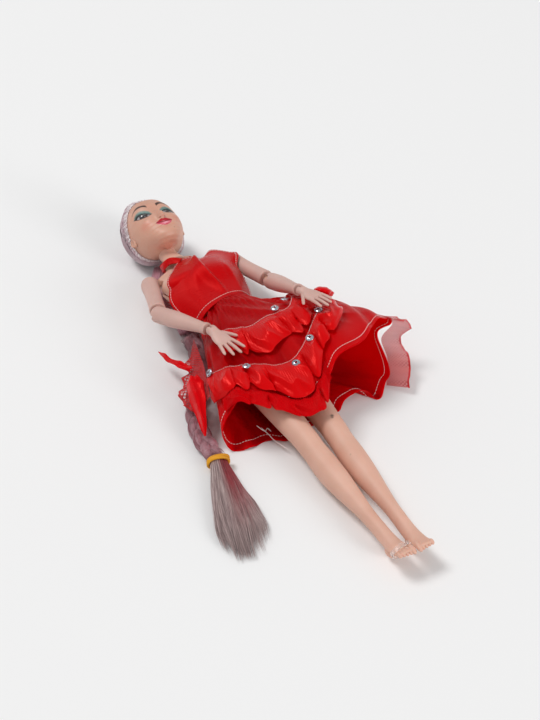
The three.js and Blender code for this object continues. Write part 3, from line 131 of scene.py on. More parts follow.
def even(curve, closed=False):
    """The same curve taken by its length, so that equal steps cover equal distances."""
    t = np.linspace(0, 1 - 1e-9, 4001)
    length = distances(curve(t))
    length /= length[-1]
    return lambda share: curve(np.interp(np.asarray(share) % 1 if closed else share, length, t))


def smooth(low, high, value):
    """Nought below low, one above high, and an S-shaped rise between them."""
    t = np.clip((value - low) / (high - low), 0, 1)
    return t * t * (3 - 2 * t)


def rounded(value, power):
    """A cosine or sine bent toward the corners of a squarer oval."""
    return np.sign(value) * np.abs(value) ** (2 / power)


def bell(value, width, other=0.0, height=1.0):
    """A smooth hump over one or two directions: one at nought, nearly gone two widths away."""
    return np.exp(-((value / width) ** 2) - (other / height) ** 2)


def grid_normals(points):
    """Unit normals of a grid of points."""
    return unit(np.cross(np.gradient(points, axis=0), np.gradient(points, axis=1)))


def upward_normals(points):
    """Unit normals of a grid of points, turned so that most of them point up."""
    out = grid_normals(points)
    return out * np.sign(np.sum(out[..., 2]))


def above_floor(points, height):
    """The same points, none of them lower than a height."""
    points[..., 2] = np.maximum(points[..., 2], height)
    return points


def grid(columns, rows):
    """Two arrays of parameters from 0 to 1, one for each direction."""
    return np.meshgrid(np.linspace(0, 1, columns), np.linspace(0, 1, rows), indexing="ij")


# %% [markdown]
# A grid of points becomes one mesh. Coincident points are joined, so seams and poles close.
# %% Meshes from grids
TUBE_SIDES = 40
ODD_DIRECTION = np.array([0.13, 0.31, 0.94])


def link_mesh(name, verts, faces, uv, joined=True):
    """Makes the object with its UV map, joins coincident points unless told not to, and shades the faces smoothly."""
    mesh = bpy.data.meshes.new(name)
    mesh.vertices.add(len(verts))
    mesh.vertices.foreach_set("co", (verts * MM).astype(np.float32).ravel())
    corners = faces.shape[1]
    mesh.loops.add(faces.size)
    mesh.loops.foreach_set("vertex_index", faces.astype(np.int32).ravel())
    mesh.polygons.add(len(faces))
    mesh.polygons.foreach_set("loop_start", np.arange(0, faces.size, corners, dtype=np.int32))
    mesh.update(calc_edges=True)
    layer = mesh.uv_layers.new(name="cloth")
    layer.data.foreach_set("uv", uv[faces.ravel()].astype(np.float32).ravel())
    if joined:
        work = bmesh.new()
        work.from_mesh(mesh)
        bmesh.ops.remove_doubles(work, verts=work.verts, dist=2e-6)
        bmesh.ops.dissolve_degenerate(work, edges=work.edges, dist=1e-7)
        work.to_mesh(mesh)
        work.free()
    mesh.polygons.foreach_set("use_smooth", np.ones(len(mesh.polygons), bool))
    mesh.update()
    made = bpy.data.objects.new(name, mesh)
    bpy.context.scene.collection.objects.link(made)
    return made


def grid_faces(columns, rows):
    """Quads between neighbours of a grid whose points are listed column by column."""
    c, r = np.meshgrid(np.arange(columns - 1), np.arange(rows - 1), indexing="ij")
    a = (c * rows + r).ravel()
    return np.stack([a, a + rows, a + rows + 1, a + 1], axis=1)


def sheet_mesh(name, points, size=(1, 1), flip=False, outward=None):
    """One surface from a grid of points; its UV map is in millimetres of the given flat size."""
    columns, rows = points.shape[:2]
    if outward is not None:
        faced = np.cross(np.gradient(points, axis=0), np.gradient(points, axis=1))
        flip = np.sum(faced * outward) < 0
    u, v = grid(columns, rows)
    uv = np.stack([u * size[0], v * size[1]], axis=-1).reshape(-1, 2)
    faces = grid_faces(columns, rows)
    return link_mesh(name, points.reshape(-1, 3), faces[:, ::-1] if flip else faces, uv)


def solid_mesh(name, points, size=(1, 1)):
    """A closed surface: its winding is turned outward by the sign of the volume it encloses."""
    p = points.reshape(-1, 3)
    faces = grid_faces(*points.shape[:2])
    a, b, c, d = (p[faces[:, k]] for k in range(4))
    volume = np.sum(a * np.cross(b, c)) + np.sum(a * np.cross(c, d))
    return sheet_mesh(name, points, size, flip=volume < 0)


def tube_grid(path, across, squash):
    """A tube: at each point of the path a flattened ellipse of the given half width stands square to it."""
    ahead = unit(np.gradient(path, axis=0))
    side = unit(np.cross(ahead, UP))
    rise = np.cross(side, ahead)
    angle = np.linspace(0, TURN, TUBE_SIDES + 1)[:, None, None]
    return path + across[None, :, None] * (np.cos(angle) * side + squash * np.sin(angle) * rise)


def strands(name, paths, radius, taper=0.3, sides=3, lanes=None):
    """Hairs: thin tubes along many paths at once, closed to a point at their two ends."""
    count, steps = paths.shape[:2]
    if lanes is None:
        lanes = rng.random(count)
    ahead = unit(np.gradient(paths, axis=1))
    side = unit(np.cross(ahead, ODD_DIRECTION))
    rise = np.cross(side, ahead)
    along = np.linspace(0, 1, steps)
    fade = np.clip(np.minimum(along / 0.05, (1 - along) / taper), 0, 1) ** 0.7
    half = (radius * fade)[None, :, None, None]
    angle = (np.arange(sides) * TURN / sides)[None, None, :, None]
    ring = paths[:, :, None] + half * (np.cos(angle) * side[:, :, None] + np.sin(angle) * rise[:, :, None])
    k, s, a = np.meshgrid(np.arange(count), np.arange(steps - 1), np.arange(sides), indexing="ij")
    first, second = ((k * steps + s) * sides + (a + shift) % sides for shift in (0, 1))
    faces = np.stack([first, second, second + sides, first + sides], axis=-1).reshape(-1, 4)
    u = np.broadcast_to(lanes[:, None, None], (count, steps, sides))
    v = np.broadcast_to(along[None, :, None], (count, steps, sides))
    return link_mesh(name, ring.reshape(-1, 3), faces, np.stack([u, v], -1).reshape(-1, 2), joined=False)


def ball_grid(columns, rows):
    """A ball of radius one as a grid that runs from pole to pole."""
    u, v = grid(columns, rows)
    a, b = u * TURN, (v - 0.5) * np.pi
    return np.stack([np.cos(a) * np.cos(b), np.sin(b), np.sin(a) * np.cos(b)], -1)


def crumple(x, y, scale, seed, sharp=0.0):
    """Cloth creases: seven slanting waves added up; the sharp share folds their sum into ridges."""
    turn = np.random.default_rng(seed)
    total = 0
    for _ in range(7):
        lean, rate, phase = turn.uniform(0, TURN), scale * turn.uniform(0.6, 1.5), turn.uniform(0, TURN)
        total = total + np.sin(rate * (x * np.cos(lean) + y * np.sin(lean)) + phase) / 2.65
    return (1 - sharp) * total + sharp * (0.8 - 2 * np.abs(total))


print("mesh helpers ready")

# %% [markdown]
# Where the limbs lie: unit directions of each upper arm, forearm, hand and leg.
# %% Pose and limb frames
JOINT_LINE = 13
SHOULDER_X, SHOULDER_Y, HIP_X = 24.6, 73, 10.0
UPPER_ARM_LENGTH, FOREARM_LENGTH, HAND_LENGTH, LEG_LENGTH = 36.4, 39.4, 22, 131.5
SHOULDER_BALL, ELBOW_BALL, WRIST_BALL = 5.1, 4.5, 2.9
POSE = {
    "right": {
        "sign": -1, "upper": [-0.261, -0.94, 0.22], "fore": [0.338, -0.905, 0.265],
        "hand": [0.2, -0.978, -0.05], "leg": [0.043, -0.998, -0.033],
    },
    "left": {
        "sign": 1, "upper": [0.184, -0.964, 0.195], "fore": [-0.04, -0.89, 0.455],
        "hand": [0.24, -0.95, 0.2], "leg": [-0.026, -0.999, -0.033],
    },
}


def arm_frames(pose):
    """Axes and origin of each joint, from the shoulder down the arm."""
    upper, fore, hand = (unit(pose[k]) for k in ("upper", "fore", "hand"))
    shoulder = np.array([pose["sign"] * SHOULDER_X, SHOULDER_Y, JOINT_LINE])
    elbow = shoulder + upper * UPPER_ARM_LENGTH
    wrist = elbow + fore * FOREARM_LENGTH
    spread = unit([0, -upper[2], -upper[1]])
    bend = unit(np.cross(upper, fore))
    return {
        "shoulder": (limb_axes([pose["sign"], 0, 0], spread), shoulder),
        "upper": (limb_axes(upper, spread), shoulder),
        "elbow": (limb_axes(upper, bend), elbow),
        "fore": (limb_axes(fore, bend), elbow),
        "wrist": (limb_axes(fore, unit(np.cross(fore, UP))), wrist),
        "hand": (limb_axes(hand, UP), wrist),
        "tip": (limb_axes(hand, UP), wrist + hand * HAND_LENGTH),
    }


def leg_frame(pose):
    """Axes and origin of a hip."""
    return limb_axes(pose["leg"], UP), np.array([pose["sign"] * HIP_X, 0, JOINT_LINE])


ARMS = {side: arm_frames(pose) for side, pose in POSE.items()}
LEGS = {side: leg_frame(pose) for side, pose in POSE.items()}
print("wrists at", {side: np.round(f["hand"][1], 1).tolist() for side, f in ARMS.items()})

# %% [markdown]
# A limb is a loft: rows of distance down, half width, half depth and shifts, run through a smooth curve.
# A joint slot is a groove pressed into the ball where the flat link passes.
# %% Limbs
SLOT_REACH, SLOT_HALF, SLOT_PLAY, SLOT_LOW, SLOT_FLOOR = 1.12, 0.18, 0.35, -0.42, 0.44
PALM_WIDTH, PALM_DEPTH, FINGER_ROOT = 4.3, 1.7, 2.6


def limb_grid(rows, length, half_width, half_depth, columns=96, steps=220):
    """Ovals square to the limb; the end rows shrink to a point so that the limb closes."""
    table = np.array([list(row) + [0] * (5 - len(row)) for row in rows], float)
    first, last = table[0].copy(), table[-1].copy()
    first[1:3], last[1:3] = 0, 0
    u, v = grid(columns, steps)
    row = spline(table)(v)
    row = np.where((v == 0)[..., None], first, np.where((v == 1)[..., None], last, row))
    angle = u * TURN
    x = half_width * (row[..., 1] * np.cos(angle) + row[..., 3])
    z = half_depth * (row[..., 2] * np.sin(angle) + row[..., 4])
    return np.stack([x, -row[..., 0] * length, z], axis=-1)


def dome(radius, length, half_width, half_depth):
    """The round top of a limb, as rows of a loft."""
    share = np.array([0.02, 0.12, 0.25, 0.4, 0.55, 0.7, 0.85]) * np.pi / 2
    across = radius * np.sin(share)
    return np.stack([-radius * np.cos(share) / length, across / half_width, across / half_depth], 1).tolist()


def groove(points, axes, origin, ball):
    """Presses points of a ball in toward the pin where the link's slot runs."""
    local = (points - origin) @ axes.T
    far = np.hypot(local[..., 0], local[..., 1])
    near = np.linalg.norm(local, axis=-1) < ball * SLOT_REACH
    inside = near & (np.abs(local[..., 2]) < SLOT_HALF * ball + SLOT_PLAY) & (local[..., 1] > SLOT_LOW * ball)
    share = np.where(inside, np.minimum(SLOT_FLOOR * ball / np.maximum(far, 1e-6), 1), 1)
    local[..., :2] *= share[..., None]
    return local @ axes + origin


UPPER_ARM = [
    [0.03, 1.18, 1.18], [0.13, 1.12, 1.14], [0.27, 1.03, 1.05], [0.45, 0.98, 0.98],
    [0.62, 0.97, 0.97], [0.74, 0.99, 0.99], [0.82, 1.01, 1.01], [0.845, 1.02, 1.02],
    [0.856, 1.0, 1.0], [0.864, 0.95, 0.95], [0.868, 0.8, 0.8], [0.869, 0.4, 0.4],
]
FOREARM = [
    [0.05, 1.0, 1.0], [0.1, 1.0, 0.99], [0.22, 1.02, 1.0], [0.36, 0.99, 0.95], [0.52, 0.88, 0.84],
    [0.7, 0.74, 0.70], [0.82, 0.655, 0.635], [0.862, 0.65, 0.64], [0.871, 0.67, 0.67],
    [0.885, 0.7, 0.7], [0.905, 0.7, 0.7], [0.914, 0.68, 0.68], [0.917, 0.6, 0.6], [0.918, 0.3, 0.3],
]
PALM = [
    [-0.12, 0.2, 0.5], [-0.09, 0.5, 1.1], [-0.02, 0.66, 1.55], [0.06, 0.64, 1.5], [0.14, 0.7, 1.2],
    [0.24, 0.9, 1.08], [0.36, 1, 1], [0.46, 1.0, 0.84], [0.52, 0.86, 0.6], [0.55, 0.5, 0.3],
]
FINGERS = [
    [-0.76, 0.46, 0.36, -0.26], [-0.27, 0.48, 0.46, -0.08], [0.24, 0.48, 0.5, 0.1], [0.75, 0.46, 0.43, 0.3],
]
THUMB = [0.72, 0.2, 0.36, 0.72]


ARM_PARTS = (
    ("upper_arm", "upper", "shoulder", UPPER_ARM, UPPER_ARM_LENGTH, 4.3, SHOULDER_BALL, (28, 36)),
    ("forearm", "fore", "elbow", FOREARM, FOREARM_LENGTH, 4.5, ELBOW_BALL, (28, 39)),
)


def finger_grid(share, thumb_side, spread):
    """One slender finger: a tube with two soft knuckles, a flat nail and a rounded tip."""
    across, down, length, lean = share
    u, v = grid(33, 70)
    knuckles = 0.07 * bell(v - 0.36, 0.05) + 0.06 * bell(v - 0.66, 0.05)
    radius = (1.02 - 0.28 * v + knuckles) * np.sqrt(np.clip(1 - smooth(0.86, 1.0, v) ** 2, 0, 1))
    radius = np.where(v == 0, 0, radius)
    nail = smooth(0.74, 0.8, v) * smooth(0.2, 0.6, np.sin(u * TURN)) * 0.16
    x = radius * np.cos(u * TURN)
    z = radius * (np.sin(u * TURN) * (1 - nail)) - 0.5 * smooth(0.4, 1, v)
    y = -(v * (length * HAND_LENGTH + FINGER_ROOT) - FINGER_ROOT)
    angle = lean * spread * thumb_side
    turned = np.stack([x * np.cos(angle) - y * np.sin(angle), x * np.sin(angle) + y * np.cos(angle), z], -1)
    return turned + np.array([across * PALM_WIDTH * thumb_side, -down * HAND_LENGTH, 0])


def arm_objects(side):
    """Lists of the objects that make the upper arm, forearm and hand of one side."""
    frames, sign = ARMS[side], POSE[side]["sign"]
    made = {}
    for part, along, joint, rows, length, half, ball, size in ARM_PARTS:
        points = placed(limb_grid(dome(ball, length, half, half) + rows, length, half, half), *frames[along])
        made[part] = [solid_mesh(f"{side}_{part}_skin", groove(points, *frames[joint], ball), size)]
    palm = placed(limb_grid(PALM, HAND_LENGTH, PALM_WIDTH, PALM_DEPTH, 72, 120), *frames["hand"])
    made["hand"] = [solid_mesh(f"{side}_palm", groove(palm, *frames["wrist"], WRIST_BALL), (20, 12))]
    for number, share in enumerate([*FINGERS, THUMB]):
        spread = 1.0 if side == "right" or number == 4 else 0.4
        finger = placed(finger_grid(share, -sign, spread), *frames["hand"])
        made["hand"].append(solid_mesh(f"{side}_finger_{number + 1}", finger, (6, 11)))
    return made


arms = {side: arm_objects(side) for side in POSE}
print("arm pieces:", sum(len(m) for a in arms.values() for m in a.values()))

# %% [markdown]
# The legs are lofts that run on into pointed feet; the inner thigh is flat where it meets the torso's web.
# %% Legs
THIGH_WIDTH, THIGH_DEPTH, HIP_RADIUS, HIP_FLAT, INNER_SIDE = 8.4, 9.4, 9.6, 12.3, 3.3
FOOT_WIDTH, FOOT_LENGTH, FOOT_DEPTH, BAND_GAP, BAND_POWER = 4.4, 18, 3.8, 0.55, 2.4
HEEL_DOWN, HEEL_RISE, TOE_DOWN, TOE_RISE = 8.3, -3.6, 17.4, 5.3
LEG = [
    [0.0, 0.97, 1.0], [0.09, 1.0, 1.0], [0.2, 0.98, 0.96, 0, 0.02], [0.32, 0.9, 0.86, 0, 0.03],
    [0.42, 0.8, 0.76, 0, 0.04], [0.49, 0.73, 0.7, 0, 0.05], [0.53, 0.72, 0.69, 0, 0.04],
    [0.58, 0.7, 0.66, 0, -0.02], [0.66, 0.75, 0.72, 0, -0.1], [0.74, 0.7, 0.68, 0, -0.1],
    [0.83, 0.55, 0.54, 0, -0.05], [0.91, 0.43, 0.43, 0, -0.02], [0.97, 0.4, 0.42, 0, 0],
    [1.02, 0.41, 0.41, 0, 0.0], [1.06, 0.44, 0.37, 0, 0.06], [1.095, 0.49, 0.29, 0, 0.2],
    [1.118, 0.5, 0.2, 0, 0.41], [1.133, 0.46, 0.13, 0, 0.57], [1.14, 0.3, 0.07, 0, 0.6],
]


def leg_objects(side):
    """One leg with its heel and toes."""
    sign, (axes, origin) = POSE[side]["sign"], LEGS[side]
    share = np.array([0.02, 0.15, 0.32, 0.52, 0.75]) * np.pi / 2
    down, deep = -HIP_RADIUS * np.cos(share) / LEG_LENGTH, HIP_RADIUS * np.sin(share) / THIGH_DEPTH
    top = np.stack([down, np.full(5, 0.94), deep], 1).tolist()
    p = placed(limb_grid(top + LEG, LEG_LENGTH, THIGH_WIDTH, THIGH_DEPTH, 96, 340), axes, origin)
    hip = np.hypot(p[..., 1], p[..., 2] - JOINT_LINE) < HIP_FLAT
    inner = (hip | (p[..., 1] > 0)) & (p[..., 0] * sign < INNER_SIDE)
    p[..., 0] = np.where(inner, INNER_SIDE * sign, p[..., 0])
    made = [solid_mesh(f"{side}_leg_skin", p, (52, 150))]
    ball = ball_grid(40, 30)
    heel = ball * [3.0, 3.5, 3.2] + [0, -LEG_LENGTH - HEEL_DOWN, HEEL_RISE]
    made.append(solid_mesh(f"{side}_heel", placed(heel, axes, origin), (20, 10)))
    big_toe = 4 if side == "right" else 0
    for number, across in enumerate([-0.74, -0.37, 0, 0.37, 0.74]):
        long = 2.4 - 0.25 * abs(number - (3 if side == "right" else 1))
        size = 1.3 if number == big_toe else 1.0
        toe = ball * [0.98 * size, long * size, 1.0 * size]
        toe = toe + [across * FOOT_WIDTH, -LEG_LENGTH - TOE_DOWN, TOE_RISE]
        made.append(solid_mesh(f"{side}_toe_{number + 1}", placed(toe, axes, origin), (6, 4)))
    return made


legs = {side: leg_objects(side) for side in POSE}


def point_attribute(obj, name, kind, values):
    """Stores one value for each point of a mesh."""
    layer = obj.data.attributes.new(name, kind, "POINT")
    layer.data.foreach_set("color" if kind == "FLOAT_COLOR" else "value", values.astype(np.float32).ravel())


def points_of(obj):
    """The points of a mesh in millimetres."""
    co = np.zeros(len(obj.data.vertices) * 3, np.float32)
    obj.data.vertices.foreach_get("co", co)
    return co.reshape(-1, 3) / MM


STAINS = np.array([
    [8.6, -65.4, 17.6, 0.75], [8.1, -66.4, 17.6, 0.5], [4.4, -89.2, 15.4, 0.3], [-16.5, -80.0, 14.0, 0.25],
])
for made in legs.values():
    off = np.linalg.norm(points_of(made[0])[:, None] - STAINS[None, :, :3], axis=-1) - STAINS[:, 3]
    point_attribute(made[0], "stain", "FLOAT", np.clip(0.6 - off.min(1) / 0.7, 0, 1))
u, v = grid(97, 24)
around, ring = u * TURN, v * TURN
thick, tall = 0.28 * np.cos(ring), 1.1 * np.sin(ring)
band_points = np.stack([
    (1.02 * FOOT_WIDTH + BAND_GAP + thick) * rounded(np.cos(around), BAND_POWER),
    -0.8 * FOOT_LENGTH - LEG_LENGTH + tall + 0.3 * np.sin(2 * around),
    0.9 * FOOT_DEPTH + (0.8 * FOOT_DEPTH + BAND_GAP + thick) * rounded(np.sin(around), BAND_POWER),
], -1)
foot_band = solid_mesh("foot_band", placed(band_points, *LEGS["right"]), (30, 3))
print("leg pieces:", sum(len(m) for m in legs.values()))

# %% [markdown]
# The torso is lofted through a table of sections and split along the joint line into two shells.
# %% Torso and neck
TORSO_LENGTH, TORSO_WIDTH, TORSO_DEPTH, SQUARENESS = 88, 21.6, 11.7, 2.3
WEB_TOP, WEB_HALF, HIP_RING, SHELL_GAP = 9.89, 3.0, 10.12, 0.15
TORSO = np.array([
    [-0.115, 0.30, 0.55, 0.02], [-0.07, 0.62, 0.80, 0], [0.03, 0.80, 0.98, 0], [0.12, 0.83, 1.00, 0],
    [0.22, 0.74, 0.88, 0], [0.33, 0.60, 0.76, 0], [0.43, 0.54, 0.72, 0.02], [0.53, 0.66, 0.84, 0.05],
    [0.62, 0.83, 1.00, 0.10], [0.68, 0.95, 1.02, 0.12], [0.75, 1.0, 0.86, 0.02], [0.80, 0.99, 0.66, -0.05],
    [0.84, 0.96, 0.44, -0.09], [0.88, 0.80, 0.34, -0.09], [0.92, 0.50, 0.32, -0.06], [0.965, 0.31, 0.33, -0.02],
]) * [TORSO_LENGTH, TORSO_WIDTH, TORSO_DEPTH, TORSO_DEPTH]
torso_table = spline(TORSO)(np.linspace(0, 1, 900))
NECK_ROOT, NECK_AXIS = np.array([-4.9, 91.5, 13.9]), unit([-0.038, 0.996, 0.078])


def torso_size(height, grow=0.0):
    """Half width, half depth and lifted middle of the torso at a height."""
    width, depth, lift = (np.interp(height, torso_table[:, 0], torso_table[:, k]) for k in (1, 2, 3))
    return width + grow, depth + grow, JOINT_LINE + lift


def torso_shell(name, front):
    """Half of the torso: an arc over the section and a flat back along the joint line."""
    heights = np.concatenate([np.linspace(-10.1, 9.88, 40), np.linspace(9.9, 84.9, 150), [85.6, 86.2, 86.6, 86.6]])
    shrink = np.concatenate([np.ones(190), [0.86, 0.6, 0.3, 0]])
    arc = np.concatenate([np.linspace(0, 1, 60), np.full(30, 1.0)])[:, None]
    flat = np.concatenate([np.zeros(60), np.linspace(0, 1, 30)])[:, None]
    width, depth, middle = (s[None, :] for s in torso_size(heights))
    web, below = heights[None, :] < WEB_TOP, heights[None, :] < 0
    width = np.where(web, np.minimum(width, WEB_HALF), width)
    depth = np.where(web & below, np.sqrt(np.clip(HIP_RING**2 - heights[None, :] ** 2, 0, None)), depth)
    side = 1 if front else -1
    x = width * rounded(np.cos(arc * np.pi), SQUARENESS) + flat * 2 * width
    z = middle + side * depth * rounded(np.sin(arc * np.pi), SQUARENESS)
    limit = JOINT_LINE + side * SHELL_GAP
    z = np.where(flat > 0, limit, np.maximum(z, limit) if front else np.minimum(z, limit))
    side_limit = 18.9 + 2.4 * smooth(5.5, 8.5, np.abs(heights - SHOULDER_Y))
    x = np.clip(x, -side_limit, side_limit) * shrink
    z = limit + (z - limit) * shrink
    points = np.stack([x, np.broadcast_to(heights, x.shape), z], -1)
    ends = points.copy()
    ends[:, 0] = points[:, 0].mean(0)
    ends[:, -1] = points[:, -1].mean(0)
    return solid_mesh(name, np.concatenate([ends, ends[:1]]), (60, 95))


torso_shells = {True: torso_shell("torso_front_shell", True), False: torso_shell("torso_back_shell", False)}
u, v = grid(81, 60)
neck_axes = limb_axes(-NECK_AXIS, UP)
neck_far = np.where((v == 0) | (v == 1), 0, 5.1 - 0.25 * np.sin(v * np.pi) + 1.5 * smooth(0.75, 0, v))
neck_points = np.stack([neck_far * np.cos(u * TURN), -9 + 12.4 * v, neck_far * np.sin(u * TURN)], -1)
neck = solid_mesh("neck_skin", placed(neck_points, neck_axes, NECK_ROOT), (32, 12))
print("torso built")

# %% [markdown]
# The head is a radius for every direction: three profiles blended round a squarer oval, plus soft bumps
# for the nose, lips, cheeks and eye hollows. The paint of the face is worked out in the same two angles.
# %% Head
FRONT = np.array([
    [-90, 0.385], [-72, 0.43], [-62, 0.505], [-56, 0.55], [-50, 0.545], [-44, 0.505], [-38, 0.465], [-30, 0.43],
    [-22, 0.405], [-15, 0.395], [-5, 0.39], [5, 0.38], [15, 0.40], [30, 0.445], [50, 0.5], [70, 0.54], [90, 0.55],
])
SIDE = np.array([
    [-90, 0.385], [-75, 0.37], [-60, 0.378], [-45, 0.388], [-30, 0.38], [-15, 0.376], [0, 0.374], [15, 0.383],
    [30, 0.408], [50, 0.453], [70, 0.515], [90, 0.55],
])
REAR = np.array([
    [-90, 0.385], [-60, 0.36], [-40, 0.364], [-20, 0.40], [0, 0.445], [10, 0.46], [30, 0.49], [60, 0.535], [90, 0.56],
])
FEATURES = [
    [0, -15, 7, 7, 0.085], [0, -5, 6, 9, 0.034], [0, -26.5, 15, 3.6, 0.02], [0, -34, 14, 3.6, 0.026],
    [0, -41, 14, 3.2, -0.018], [27, 1, 14, 8, -0.02], [-29, 2, 14, 8, -0.02],
    [32, -16, 15, 11, 0.014], [-32, -16, 15, 11, 0.014],
]
FINE_FEATURES = [
    [0, -30.4, 11, 0.9, -0.008], [5.5, -19.5, 3.2, 2.2, 0.014], [-5.5, -19.5, 3.2, 2.2, 0.014],
    [25, 0, 11, 5.5, 0.016], [-31, 2.5, 11, 5.5, 0.016], [25, 9.5, 12, 1.2, -0.008],
    [-31, 12.5, 12, 1.2, -0.008], [0, -22.2, 1.8, 2.6, -0.005],
]
HEAD, HEAD_SQUARENESS = 40, 2.25
HEAD_AXES = np.array([[0.996, 0.044, -0.077], [-0.038, 0.996, 0.078], [0.08, -0.074, 0.994]])
HEAD_AT = np.array([-5.2, 108.1, 19.4])


def eased(table, angle):
    """The table read between its rows, half straight and half S-shaped."""
    i = np.clip(np.searchsorted(table[:, 0], angle), 1, len(table) - 1)
    low, high = table[i - 1], table[i]
    share = np.clip((angle - low[..., 0]) / (high[..., 0] - low[..., 0]), 0, 1)
    ease = 0.5 * share + 0.5 * share * share * (3 - 2 * share)
    return low[..., 1] + (high[..., 1] - low[..., 1]) * ease


def head_radius(across, up, fine=True):
    """The head's radius in millimetres at an angle from the nose and an angle above the eyes."""
    a = np.radians(across)
    ahead = np.cos(a)
    long = np.where(ahead > 0, eased(FRONT, up), eased(REAR, up))
    total = np.abs(ahead / long) ** HEAD_SQUARENESS + np.abs(np.sin(a) / eased(SIDE, up)) ** HEAD_SQUARENESS
    share = total ** (-1 / HEAD_SQUARENESS)
    for x, y, wide, tall, height in FEATURES + (FINE_FEATURES if fine else []):
        share = share + height * bell(across - x, wide, up - y, tall)
    return share * HEAD


def direction(across, up):
    """The unit vector at two angles, in the head's own axes."""
    a, u = np.radians(across), np.radians(up)
    return np.stack([np.cos(u) * np.sin(a), np.sin(u), np.cos(u) * np.cos(a)], -1)


def angles(vector):
    """The two angles of a direction."""
    d = unit(vector)
    return np.degrees(np.arctan2(d[..., 0], d[..., 2])), np.degrees(np.arcsin(np.clip(d[..., 1], -1, 1)))


u, v = grid(391, 251)
across = 360 * (u - 0.5 - 0.62 * np.sin((u - 0.5) * TURN) / TURN)
up = -90 + 180 * (v + 0.5 * (np.sin((v + 0.1) * TURN) - np.sin(0.1 * TURN)) / TURN)
up = np.clip(up, -90, 90)
head_local = direction(across, up) * head_radius(across, up)[..., None]
head = solid_mesh("head_skin", placed(head_local, HEAD_AXES, HEAD_AT), (360, 180))
print("head:", len(head.data.polygons), "faces")

# %% [markdown]
# Face paint: each mark is a soft-edged region between curves of the two angles.
# %% Face paint
def band(value, half, soft):
    """One where the value is within the half width of nought, fading over the soft edge."""
    return np.clip(0.5 + (half - np.abs(value)) / soft, 0, 1)


def under(value, soft):
    """One where the value is below nought, fading over the soft edge."""
    return np.clip(0.5 - value / soft, 0, 1)


def linear(code):
    """A colour written as six hexadecimal digits, as linear red, green and blue."""
    c = np.array([int(code[i:i + 2], 16) for i in (0, 2, 4)]) / 255
    return np.where(c > 0.04045, ((c + 0.055) / 1.055) ** 2.4, c / 12.92)


